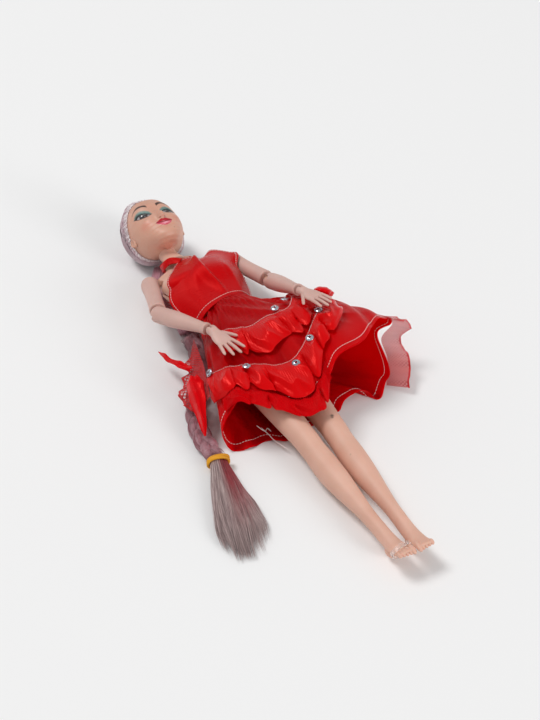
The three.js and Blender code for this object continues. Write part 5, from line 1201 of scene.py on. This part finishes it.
around, level = np.linspace(0, 1, 1400), np.full(1400, 0.962)
folds, out = underskirt_folds(around, level), skirt_out(around, level)
stitches = [
    stitch_run("stitches_hem", above_floor(off_skirt(around, level, folds - 0.22), 0.5), out),
    stitch_run("stitches_hem_inside", above_floor(off_skirt(around, level, folds - 0.58), 0.2), -out),
]
for name in ("upper_ruffle", "lower_ruffle"):
    tier, share = TIERS[name], np.linspace(0.02, 0.98, 500)
    line = tier_place(tier, share, np.full(500, 0.05), 0.16)
    out = skirt_out(tier_around(tier, share), np.full(500, 0.5))
    stitches.append(stitch_run(f"stitches_{name}_1", line, out))
normals = upward_normals(bodice_points)
shown = bodice_points + normals * 0.2
for name, edge in (
    ("armhole_right", np.s_[5, 4:-4]), ("neckline", np.s_[6:-6, -7]),
    ("armhole_left", np.s_[-5, 4:-4]), ("waist", np.s_[4:-4, 5]),
):
    stitches.append(stitch_run(f"stitches_{name}", shown[edge], normals[edge]))
loose = np.stack([
    spline(line)(np.linspace(0, 1, 30))
    for line in (
        [[-18.6, -44.6, 4.6], [-16.8, -49.4, 3.0], [-16.0, -54.0, 2.6], [-13.4, -63.0, 3.4]],
        [[-20.4, -43.2, 5.6], [-17.6, -46.4, 3.2], [-15.6, -45.8, 3.6], [-14.2, -47.4, 2.0]],
    )
])
stitches.append(strands("loose_thread", loose, 0.24, taper=0.1, sides=5))
print("stitch runs:", len(stitches))

# %% [markdown]
# The braid is three bundles that swing from side to side and over one another, a third of a turn apart.
# %% Braid and loose hair
HAIR_SCALE = [150, 150, 3]
BRAID_TURNS, BRAID_SWING, BRAID_LIFT, BRAID_HAIRS = 3.4, 2.55, 0.95, 110
BUNDLE_HALF, BUNDLE_SQUASH = 2.5, 0.68


def hair_line(shares):
    """The middle line of the hair on the floor, from shares of its length and its half depth."""
    return even(spline(np.asarray(shares) * HAIR_SCALE))


PONYTAIL = [
    [-0.05, 0.65, 1.1], [-0.077, 0.61, 1.06], [-0.107, 0.547, 1.0], [-0.12, 0.467, 0.95], [-0.123, 0.38, 0.9],
    [-0.12, 0.307, 0.95], [-0.128, 0.25, 1.0],
]
BRAID = [
    [-0.133, 0.236, 1.06], [-0.133, 0.16, 1.06], [-0.167, 0.067, 1.06], [-0.223, -0.027, 1.06],
    [-0.273, -0.12, 1.1], [-0.303, -0.207, 1.18], [-0.312, -0.287, 1.3], [-0.308, -0.353, 1.42],
]


def flat_frame(curve, share):
    """Points of a line on the floor, with the direction to its side."""
    p = curve(share)
    ahead = curve(np.clip(share + 0.005, 0, 1)) - curve(np.clip(share - 0.005, 0, 1))
    ahead[..., 2] = 0
    return p, unit(np.cross(ahead, UP))


def beside(path, side, across, lift):
    """Points beside and above a line."""
    return path + side * across[..., None] + UP * lift[..., None]


def bundle(third, share):
    """Middle line of one bundle of the braid: a swing to the side, and a lift twice as often."""
    p, side = flat_frame(hair_line(BRAID), share)
    phase = TURN * (BRAID_TURNS * share + third / 3)
    swing = BRAID_SWING * np.sin(phase) * (1 - 0.25 * smooth(0.9, 1, share))
    return beside(p, side, swing, BRAID_LIFT * np.sin(2 * phase)), side


braid = []
for third in range(3):
    share = np.linspace(0, 1, 260)
    path, _ = bundle(third, share)
    half = BUNDLE_HALF * (0.35 + 0.65 * smooth(0, 0.04, share) * smooth(1, 0.96, share))
    half[[0, -1]] = 0
    core = above_floor(tube_grid(path, half, BUNDLE_SQUASH), 0.25)
    braid.append(solid_mesh(f"braid_bundle_{third + 1}", core, (16, 100)))
    each = (BRAID_HAIRS, 1)
    share = np.linspace(0.0, 1.0, 46)[None, :] * np.ones(each)
    path, side = bundle(third, share)
    angle = rng.random(each) * TURN + 0.8 * share
    far = BUNDLE_HALF * (1.0 + 0.07 * rng.random(each) + 0.16 * (rng.random(each) > 0.93))
    hairs = beside(path, side, far * np.cos(angle), far * BUNDLE_SQUASH * np.sin(angle))
    braid.append(strands(f"braid_hairs_{third + 1}", above_floor(hairs, 0.3), 0.12))


def loose_hank(name, shares, half, deep, count):
    """A loose hank: hairs side by side round a middle line, drifting a little from it."""
    share = np.linspace(0, 1, 28)[None, :] * np.ones((count, 1))
    p, side = flat_frame(hair_line(shares), share)
    angle = rng.random((count, 1)) * TURN
    far = np.sqrt(rng.random((count, 1))) * (0.9 + 0.12 * np.sin(share * 9 + angle * 3))
    hairs = beside(p, side, half * far * np.cos(angle), deep * far * np.sin(angle))
    return strands(name, above_floor(hairs, 0.3), 0.17, taper=0.1)


share = np.linspace(0, 1, 120)
p, _ = flat_frame(hair_line(PONYTAIL), share)
core_half = 3.6 * np.sin(np.clip(share * 12, 0, np.pi / 2)) * np.sin(np.clip((1 - share) * 12, 0, np.pi / 2))
ponytail = [
    solid_mesh("ponytail_core", above_floor(tube_grid(p, core_half, 0.5), 0.25), (20, 60)),
    loose_hank("ponytail_hairs", PONYTAIL, 4.2, 2.3, 420),
]
print("braid and ponytail:", len(braid) + len(ponytail), "pieces")

# %% [markdown]
# Past the elastic the hair fans out into a ragged brush; the elastic is three turns of a yellow band.
# %% Hair tail and elastic
TAIL_DOWN = unit([-0.235, -0.97, -0.01])
TAIL_LENGTH, TAIL_WIDTH, TAIL_DEPTH, TAIL_GAP, TAIL_HAIRS, CORE_LENGTH = 53, 10, 2.6, 0.9, 1500, 34
ELASTIC_HALF, ELASTIC_THICK, ELASTIC_DOWN = 4.2, 0.72, 2.2
TAIL_ROWS = np.array([
    [0, 0.38, 1], [0.12, 0.46, 0.98], [0.3, 0.66, 0.9], [0.55, 0.88, 0.75], [0.8, 0.98, 0.6], [1, 0.9, 0.36],
])
braid_end = np.array(BRAID[-1]) * HAIR_SCALE
tail_axes = limb_axes(TAIL_DOWN, UP)


def tail_size(down):
    """Half width and half depth of the brush at a distance past the braid."""
    share = down / TAIL_LENGTH
    width, depth = (np.interp(share, TAIL_ROWS[:, 0], TAIL_ROWS[:, k]) for k in (1, 2))
    return TAIL_WIDTH * width, TAIL_DEPTH * depth


lane = rng.uniform(-1, 1, TAIL_HAIRS)
layer = rng.uniform(-1, 1, TAIL_HAIRS)
clump = np.round(lane * 7 + 0.4 * rng.standard_normal(TAIL_HAIRS)) / 7
reach = 1.1 - 0.26 * np.abs(lane) ** 1.5 + 0.05 * np.sin(clump * 19) + 0.07 * rng.standard_normal(TAIL_HAIRS)
reach = np.clip(TAIL_LENGTH * reach, 20, 60)
lanes = (lane + 1) / 2
lane, layer, clump, reach = (values[:, None] for values in (lane, layer, clump, reach))
t = np.linspace(0, 1, 20)[None, :]
down = reach * t
width, depth = tail_size(down)
across = lane * (1 - 0.55 * t) + clump * 0.55 * t
across = across + 0.06 * np.sin(t * 7 + lane * 9) * t + 0.9 * np.clip(lane - 0.6, 0, 1) * t**2
round_off = np.sqrt(np.clip(1 - across**2, 0.05, 1))
height = layer * depth * round_off * 0.95 - (TAIL_DEPTH - depth) + 0.25 * np.sin(t * 11 + lane * 31)
tail_hairs = placed(np.stack([across * width, -down - TAIL_GAP, height], -1), tail_axes, braid_end)
tail_hairs = above_floor(tail_hairs, 0.2 + 0.3 * rng.random((TAIL_HAIRS, 1)))
tail = [strands("tail_hairs", tail_hairs, 0.17, taper=0.5, lanes=lanes)]
u, v = grid(49, 60)
width, depth = tail_size(CORE_LENGTH * v)
width = width * 0.86 * np.sqrt(np.clip(1 - smooth(0.75, 1, v) ** 2, 0, 1))
depth = depth * 0.8 * np.sqrt(np.clip(1 - smooth(0.5, 1, v), 0, 1))
width, depth = (np.where((v == 0) | (v == 1), 0, half) for half in (width, depth))
ridges = 1 + 0.05 * np.sin(u * 26 * TURN)
core = np.stack([
    width * np.cos(u * TURN) * ridges, -CORE_LENGTH * v - TAIL_GAP, depth * np.sin(u * TURN) * ridges - 0.6 * v,
], -1)
tail.append(solid_mesh("tail_core", above_floor(placed(core, tail_axes, braid_end), 0.25), (1, 1)))


def elastic_turn(name, shift, lean, grow):
    """One turn of the elastic: a thin tube round an oval that leans a little."""
    u, v = grid(121, 17)
    a, b = u * TURN, v * TURN
    r = ELASTIC_THICK * (1 + 0.06 * np.sin(a * 40))
    far = grow + r * np.cos(b)
    points = np.stack([
        (ELASTIC_HALF + far) * rounded(np.cos(a), SQUARENESS),
        shift + lean * np.cos(a) + r * np.sin(b),
        (TAIL_DEPTH + far) * rounded(np.sin(a), SQUARENESS),
    ], -1)
    return solid_mesh(name, placed(points, tail_axes, braid_end + TAIL_DOWN * ELASTIC_DOWN), (26, 4))


elastic = [
    elastic_turn(f"elastic_turn_{number + 1}", *turn)
    for number, turn in enumerate(((0.75, 0.2, 0.62), (-0.7, -0.25, 0.66), (0.05, 0.9, 0.9)))
]
print("tail hairs:", TAIL_HAIRS)

# %% [markdown]
# Materials. Shared effects are node groups that give only colours, values and heights.
# %% Node groups
def new_node(tree, kind, inputs=None, **settings):
    """One node with its settings; inputs are constants or other nodes' outputs."""
    node = tree.nodes.new(kind)
    for key, value in settings.items():
        setattr(node, key, value)
    for key, value in (inputs or {}).items():
        if isinstance(value, bpy.types.NodeSocket):
            tree.links.new(value, node.inputs[key])
        else:
            node.inputs[key].default_value = value
    return node


def new_group(name, inputs, outputs):
    """An empty node group; sockets with a colour's four parts, or called Colour, carry colours."""
    tree = bpy.data.node_groups.new(name, "ShaderNodeTree")
    for label, value in inputs.items():
        kind = "NodeSocketColor" if isinstance(value, tuple) else "NodeSocketFloat"
        tree.interface.new_socket(label, in_out="INPUT", socket_type=kind).default_value = value
    for label in outputs:
        kind = "NodeSocketColor" if label == "Colour" else "NodeSocketFloat"
        tree.interface.new_socket(label, in_out="OUTPUT", socket_type=kind)
    return tree, tree.nodes.new("NodeGroupInput").outputs, tree.nodes.new("NodeGroupOutput")


def feed(tree, node, **values):
    """Links values to a node's inputs of the same names."""
    for key, value in values.items():
        tree.links.new(value, node.inputs[key])


def maths(tree, operation, *values):
    """A chain link of arithmetic; returns its output."""
    return new_node(tree, "ShaderNodeMath", dict(enumerate(values)), operation=operation).outputs[0]


def mixed(tree, factor, first, second):
    """Two colours mixed by a factor."""
    return new_node(tree, "ShaderNodeMix", {0: factor, 6: first, 7: second}, data_type="RGBA").outputs[2]


def ramp(tree, value, low, high, top=1.0):
    """The value stretched so that low gives nought and high gives the top."""
    return new_node(tree, "ShaderNodeMapRange", {0: value, 1: low, 2: high, 3: 0.0, 4: top}).outputs[0]


def noise(tree, place, scale, detail, **more):
    """Cloudy noise over a place."""
    inputs = {"Vector": place, "Scale": scale, "Detail": detail, **more}
    return new_node(tree, "ShaderNodeTexNoise", inputs).outputs[0]


def stretched(tree, place, scale, shift=(0.0, 0.0, 0.0)):
    """A place drawn out or squeezed along each axis."""
    return new_node(tree, "ShaderNodeMapping", {"Vector": place, "Scale": scale, "Location": shift}).outputs[0]


def cloth_place(tree):
    """The place on the cloth or along the hair, from the UV map."""
    return new_node(tree, "ShaderNodeUVMap", uv_map="cloth").outputs[0]


def object_place(tree):
    """The place in the object's own coordinates."""
    return new_node(tree, "ShaderNodeTexCoord").outputs["Object"]


def parts(tree, place):
    """The first two coordinates of a place."""
    return new_node(tree, "ShaderNodeSeparateXYZ", {0: place}).outputs[:2]


def plastic_group():
    """Moulded plastic: slow blotches of a second colour, fine scuffs in the shine and a faint grain."""
    tree, start, end = new_group(
        "moulded_plastic",
        {"Colour": (0.8, 0.6, 0.5, 1), "Tint": (0.8, 0.5, 0.4, 1), "Amount": 0.5, "Roughness": 0.45},
        ("Colour", "Roughness", "Height"),
    )
    do, place = partial(maths, tree), object_place(tree)
    blotch = noise(tree, place, 55.0, 3.0, Roughness=0.6)
    scuff = noise(tree, place, 900.0, 4.0, Distortion=0.8)
    grain = noise(tree, place, 5200.0, 2.0)
    share = do("MULTIPLY", ramp(tree, blotch, 0.35, 0.7), start["Amount"])
    feed(
        tree, end, Colour=mixed(tree, share, start["Colour"], start["Tint"]),
        Roughness=do("MULTIPLY_ADD", scuff, 0.16, do("SUBTRACT", start["Roughness"], 0.08)),
        Height=do("MULTIPLY_ADD", grain, 0.3, do("MULTIPLY", scuff, 0.7)),
    )
    return tree


def weave_group():
    """Satin: fine crossing threads in millimetres of cloth, long slubs and worn, slightly faded patches."""
    tree, start, end = new_group(
        "satin_weave",
        {"Colour": (0.6, 0, 0, 1), "Deep": (0.3, 0, 0, 1), "Warp": 4.0, "Weft": 2.0, "Roughness": 0.24},
        ("Colour", "Height", "Roughness"),
    )
    do, cloth = partial(maths, tree), cloth_place(tree)
    warp, weft = (
        do("SINE", do("MULTIPLY", do("MULTIPLY", way, start[rate]), 6.2832))
        for way, rate in zip(parts(tree, cloth), ("Warp", "Weft"))
    )
    threads = do("MULTIPLY_ADD", weft, 0.25, do("MULTIPLY_ADD", warp, 0.25, 0.5))
    slub = noise(tree, stretched(tree, cloth, (2.2, 0.12, 1.0)), 1.0, 4.0)
    fade = noise(tree, object_place(tree), 70.0, 3.0)
    shade = ramp(tree, do("MULTIPLY_ADD", slub, 0.5, do("MULTIPLY", fade, 0.5)), 0.32, 0.68)
    dark = do("MULTIPLY", do("SUBTRACT", 1.0, threads), 0.28)
    factor = do("ADD", do("MULTIPLY", shade, 0.4), dark)
    feed(
        tree, end, Colour=mixed(tree, factor, start["Colour"], start["Deep"]),
        Height=do("MULTIPLY_ADD", slub, 0.35, threads),
        Roughness=do("MULTIPLY_ADD", fade, 0.14, start["Roughness"]),
    )
    return tree


def net_group():
    """Net: threads on two slanting families of lines as a cover mask, with a woven band along the free edge."""
    tree, start, end = new_group(
        "net_mesh", {"Per mm": 0.8, "Thread": 0.2, "Fill": 0.2, "Hem": 99.0}, ("Cover", "Height"),
    )
    do = partial(maths, tree)
    along, down = parts(tree, cloth_place(tree))
    lines = []
    for operation in ("ADD", "SUBTRACT"):
        slant = do(operation, along, do("MULTIPLY", down, 0.6))
        cell = do("FRACT", do("MULTIPLY", slant, start["Per mm"]))
        edge = do("SUBTRACT", 0.5, do("ABSOLUTE", do("SUBTRACT", cell, 0.5)))
        lines.append(ramp(tree, edge, start["Thread"], do("MULTIPLY", start["Thread"], 0.6)))
    hem = ramp(tree, do("SUBTRACT", down, start["Hem"]), 0.0, 0.3, 0.95)
    cover = do("MAXIMUM", do("MAXIMUM", *lines), hem)
    feed(tree, end, Cover=do("MAXIMUM", cover, start["Fill"]), Height=do("ADD", *lines))
    return tree


def hair_group():
    """Hair: each strand takes its own share between two colours, with lighter and darker lengths along it."""
    tree, start, end = new_group(
        "hair_colour",
        {"Light": (0.6, 0.5, 0.5, 1), "Dark": (0.3, 0.2, 0.25, 1), "Streak": (0.5, 0.1, 0.2, 1), "Streak amount": 0.2},
        ("Colour", "Height"),
    )
    cloth = cloth_place(tree)
    fine = noise(tree, stretched(tree, cloth, (160.0, 2.5, 1.0)), 1.0, 3.0)
    broad = noise(tree, stretched(tree, cloth, (14.0, 1.2, 1.0), (3.1, 0.4, 0.0)), 1.0, 2.0)
    colour = mixed(tree, ramp(tree, fine, 0.35, 0.68), start["Light"], start["Dark"])
    streak = maths(tree, "MULTIPLY", ramp(tree, broad, 0.52, 0.62), start["Streak amount"])
    feed(tree, end, Colour=mixed(tree, streak, colour, start["Streak"]), Height=fine)
    return tree


PLASTIC, WEAVE, NET, HAIR = plastic_group(), weave_group(), net_group(), hair_group()
print("node groups:", [g.name for g in (PLASTIC, WEAVE, NET, HAIR)])

# %% [markdown]
# Each material uses a group for what varies and sets its own constant gloss, sheen or coat.
# %% Materials
def rgba(code):
    """A colour of six hexadecimal digits as a linear shader colour."""
    return (*linear(code).tolist(), 1.0)


SKIN_DEEP = {"Subsurface Weight": 0.12, "Subsurface Radius": (1.0, 0.35, 0.2), "Subsurface Scale": 0.0018}
OPAQUE = {"Subsurface Weight": 0.0}
DYED = {"Specular Tint": rgba("ff2c22")}
SEEN_THROUGH = {
    "Specular IOR Level": 0.25, "Subsurface Weight": 0.7, "Subsurface Radius": (1.0, 0.06, 0.04),
    "Subsurface Scale": 0.006,
}
FAINT = {"Specular IOR Level": 0.2, **DYED}
CLEAR = {"Transmission Weight": 0.85, "Alpha": 0.55, **OPAQUE}
SILVERED = {"Metallic": 0.85, "Coat Weight": 0.5, **OPAQUE}
GLOSSY = {"Anisotropic": 0.4, "Specular IOR Level": 0.85, "Specular Tint": rgba("ff5048")}


def set_inputs(inputs, settings):
    """Gives a node's inputs their constants by name."""
    for key, value in settings.items():
        inputs[key].default_value = value


def shader(name, group_tree, values, bump, distance, settings):
    """A material: a group feeds the Principled shader's colour, roughness, alpha and a bump."""
    material = bpy.data.materials.new(name)
    material.use_nodes = True
    tree = material.node_tree
    main = tree.nodes["Principled BSDF"].inputs
    group = new_node(tree, "ShaderNodeGroup", values, node_tree=group_tree).outputs
    for output, target in (("Colour", "Base Color"), ("Roughness", "Roughness"), ("Cover", "Alpha")):
        if output in group:
            tree.links.new(group[output], main[target])
    relief = new_node(tree, "ShaderNodeBump", {"Strength": bump, "Distance": distance, "Height": group["Height"]})
    tree.links.new(relief.outputs[0], main["Normal"])
    set_inputs(main, settings)
    return material


def plastic(name, colour, tint, amount, roughness, more=()):
    """A moulded plastic or vinyl."""
    values = {"Colour": rgba(colour), "Tint": rgba(tint), "Amount": amount, "Roughness": roughness}
    return shader(name, PLASTIC, values, 0.25, 0.00006, {**SKIN_DEEP, **dict(more)})


def satin(name, colour, deep, warp, weft, bump, roughness, more=()):
    """Shiny cloth: its threads are dyed through, so its reflections are tinted too."""
    values = {"Colour": rgba(colour), "Deep": rgba(deep), "Warp": warp, "Weft": weft, "Roughness": roughness}
    return shader(name, WEAVE, values, bump, 0.0001, {**DYED, "Specular IOR Level": 0.5, **dict(more)})


def hair(name, light, dark, streak, amount):
    """Shiny nylon hair."""
    values = {"Light": rgba(light), "Dark": rgba(dark), "Streak": rgba(streak), "Streak amount": amount}
    return shader(name, HAIR, values, 0.5, 0.0001, {"Roughness": 0.38, "Anisotropic": 0.5, "Sheen Weight": 0.2})


def net(name, colour, roughness, values, more=()):
    """Net: the gaps between its threads are see-through."""
    return shader(name, NET, values, 0.3, 0.0001, {"Base Color": rgba(colour), "Roughness": roughness, **dict(more)})


finishes = {
    "head": plastic("head_vinyl", "d3a08a", "c68d76", 0.6, 0.45),
    "ear": plastic("ear_vinyl", "d0a08a", "c08a74", 0.5, 0.5),
    "torso": plastic("body_plastic", "e3b5a2", "d6a48f", 0.5, 0.42),
    "arm": plastic("arm_plastic", "d2aba0", "c39a90", 0.6, 0.5),
    "leg": plastic("leg_vinyl", "dfb09c", "d3a08a", 0.6, 0.56),
    "peg": plastic("joint_plastic", "d8a892", "c8967e", 0.4, 0.4),
    "clear": plastic("clear_band", "f6f3f2", "ebe6e4", 0.3, 0.2, CLEAR),
    "elastic": plastic("yellow_elastic", "eaa60a", "c27c06", 0.8, 0.6, OPAQUE),
    "thread": plastic("white_thread", "f3e6e4", "e0c0bc", 0.6, 0.7, OPAQUE),
    "stone": plastic("stone_silver", "d9dde6", "8f96a6", 0.9, 0.12, SILVERED),
    "bodice": satin("bodice_satin", "cc030a", "a60106", 3.2, 1.4, 0.5, 0.2),
    "skirt": satin("skirt_satin", "dc030a", "b00106", 3.2, 1.4, 0.4, 0.22, SEEN_THROUGH),
    "ruffle": satin("ruffle_satin", "de050c", "b40207", 4.5, 3.0, 0.2, 0.1, GLOSSY),
    "ribbon": satin("ribbon_satin", "e00b14", "b8040c", 5.0, 4.0, 0.15, 0.12, {"Anisotropic": 0.4}),
    "hair_cap": hair("hair_head", "e6d2d6", "b8929e", "b06c84", 0.4),
    # The hairline plugs are paler than the hair: partly their own colour, partly a painted highlight along the
    # hairline.
    "hair_plug_highlight": hair("hair_root", "fbf6f6", "e6d6da", "dcb8c4", 0.3),
    "hair_pony": hair("hair_ponytail", "e0b4c0", "a8566c", "8a2c40", 0.5),
    "hair_braid": hair("hair_braid", "c69aa2", "6c3a46", "8a1e30", 0.75),
    "hair_tail": hair("hair_tail", "cbb4b0", "86686a", "a83448", 0.0),
    "net": net("red_net", "c00810", 0.6, {"Per mm": 0.8, "Thread": 0.24, "Fill": 0.26, "Hem": 11.6}),
    "sheer": net("sheer_net", "cc040c", 0.4, {"Per mm": 1.2, "Thread": 0.3, "Fill": 0.72}, FAINT),
}


def opened(finish):
    """The node tree of a finish, its main shader's inputs and its group's outputs."""
    tree = finishes[finish].node_tree
    group = next(node for node in tree.nodes if node.type == "GROUP")
    return tree, tree.nodes["Principled BSDF"].inputs, group.outputs


def stored(tree, name):
    """A value or colour that the mesh keeps for each point."""
    return new_node(tree, "ShaderNodeAttribute", attribute_name=name).outputs


tree, main, group = opened("head")
# The paint attribute holds the face paint together with the painted shade, reflection and highlights of the eyes, lips
# and jaw.
paint, gloss = stored(tree, "paint"), stored(tree, "gloss")
tree.links.new(mixed(tree, paint["Alpha"], group["Colour"], paint["Color"]), main["Base Color"])
glossy = maths(tree, "SUBTRACT", group["Roughness"], maths(tree, "MULTIPLY", gloss["Fac"], 0.22))
tree.links.new(glossy, main["Roughness"])
tree, main, group = opened("leg")
stained = maths(tree, "MULTIPLY", stored(tree, "stain")["Fac"], 0.85)
tree.links.new(mixed(tree, stained, group["Colour"], rgba("4a4038")), main["Base Color"])
tree, main, group = opened("hair_tail")
side, down = parts(tree, cloth_place(tree))
streak = maths(tree, "MULTIPLY", ramp(tree, side, 0.38, 0.62), ramp(tree, down, 0.85, 0.3))
streak = maths(tree, "MULTIPLY", streak, 0.95)
tree.links.new(mixed(tree, streak, group["Colour"], rgba("8e1c28")), main["Base Color"])
print("materials:", len(finishes))

# %% [markdown]
# Every piece takes its finish and rides a body, or has its placement baked in; the CAD nodes that the pieces replace
# are hidden, and those still shown take the joint plastic.
# %% Pieces on their bodies
def follows_leg(obj):
    """Bakes the cloth's placement into its points; it rides no body."""
    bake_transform(obj)


def follows_head(obj):
    """Bakes the hair's placement into its points; it rides no body."""
    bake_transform(obj)


def dressed(obj, finish, rides):
    """The object takes its finish, and rides a body or has its placement baked into its points."""
    obj.data.materials.clear()
    obj.data.materials.append(finishes[finish])
    if callable(rides):
        rides(obj)
    else:
        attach(obj, rides)


def stands_for(objects, node, finish, bends=None):
    """The objects ride the node's body, or have their placement baked in, and take the finish; the node is hidden."""
    for obj in objects:
        dressed(obj, finish, bends or NODE_BODY[node])
    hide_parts(node)


for side in POSE:
    for part, objects in arms[side].items():
        stands_for(objects, f"{side}_{part}", "arm")
    stands_for(legs[side], f"{side}_leg", "leg")
stands_for([foot_band], "clear_foot_band", "clear")
stands_for([torso_shells[True], neck], "torso_front", "torso")
stands_for([torso_shells[False]], "torso_back", "torso")
stands_for([head], "head_shell", "head")
for ear in ears:
    dressed(ear, "ear", "head")
stands_for([hair_cap, hair_strands], "hair_cap", "hair_cap")
# The plugs' pale finish is partly a painted highlight along the hairline.
dressed(hair_plugs, "hair_plug_highlight", "head")
stands_for([underskirt], "underskirt", "skirt", bends=follows_leg)
for node, obj in tier_objects.items():
    finish, slot = ("sheer", "red_net") if node == "sheer_ruffle" else ("ruffle", "red_satin")
    stands_for([obj], node, finish, bends=follows_leg)
for node, obj in net_objects.items():
    stands_for([obj], node, "net", bends=follows_leg if node == "net_flounce_left" else None)
for node, obj in ribbon_objects.items():
    stands_for([obj], node, "ribbon")
stands_for(bow, "bow_left", "ribbon", bends=follows_leg)
for node, obj in stones.items():
    stands_for([obj], node, "stone", bends=follows_leg)
stands_for([bodice], "bodice_front", "bodice")
for node, obj in back_objects.items():
    stands_for([obj], node, "bodice")
stands_for([strap_object], "halter_strap", "bodice")
for obj in stitches:
    on_bodice = any(word in obj.name for word in ("armhole", "neckline", "waist"))
    dressed(obj, "thread", "torso" if on_bodice else follows_leg)
stands_for(ponytail, "ponytail", "hair_pony", bends=follows_head)
stands_for(braid, "braid", "hair_braid")
stands_for(tail, "hair_tail", "hair_tail")
stands_for(elastic, "hair_tie", "elastic")
kept = [name for name, obj in frame["nodes"].items() if not obj.hide_render]
for name in kept:
    frame["nodes"][name].data.materials.clear()
    frame["nodes"][name].data.materials.append(finishes["peg"])
print("CAD nodes still shown:", kept)

# %% [markdown]
# A pale floor under soft light: a strong lamp above and behind, two weaker ones in front, and a white world
# that only the camera sees at full strength.
# %% Floor and light
FLOOR_SIDE, WORLD_LIGHT, WORLD_SEEN = 8000, 0.46, 0.54
LAMPS = {
    "key": ((-2.0, 2.2, 5.2), 2.0, 165),
    "fill": ((2.2, -5.0, 2.7), 2.4, 95),
    "low": ((1.6, -3.8, 0.9), 1.0, 30),
}
u, v = grid(3, 3)
floor = sheet_mesh("floor", np.stack([(u - 0.5) * FLOOR_SIDE, (v - 0.5) * FLOOR_SIDE, 0 * u], -1), outward=UP)
paper = bpy.data.materials.new("floor_paper")
paper.use_nodes = True
paper_main = paper.node_tree.nodes["Principled BSDF"].inputs
set_inputs(paper_main, {"Base Color": rgba("f1f1f1"), "Roughness": 0.9, "Specular IOR Level": 0.1})
floor.data.materials.append(paper)


def lamp(name, place, size, power):
    """A square area lamp that faces the doll."""
    light = bpy.data.lights.new(name, "AREA")
    light.size, light.energy = size, power
    obj = bpy.data.objects.new(name, light)
    obj.location = place
    obj.rotation_mode = "QUATERNION"
    obj.rotation_quaternion = (-Vector(place)).to_track_quat("-Z", "Y")
    bpy.context.scene.collection.objects.link(obj)


for name, settings in LAMPS.items():
    lamp(name, *settings)
world = bpy.data.worlds.new("studio")
bpy.context.scene.world = world
world.use_nodes = True
sky = world.node_tree
background = sky.nodes["Background"].inputs
rays = new_node(sky, "ShaderNodeLightPath").outputs
seen = maths(sky, "MAXIMUM", rays["Is Camera Ray"], rays["Is Transmission Ray"])
sky.links.new(maths(sky, "MULTIPLY_ADD", seen, WORLD_SEEN, WORLD_LIGHT), background["Strength"])
background["Color"].default_value = (1, 1, 1, 1)
bpy.context.scene.view_settings.view_transform = "Standard"
print("stage ready")
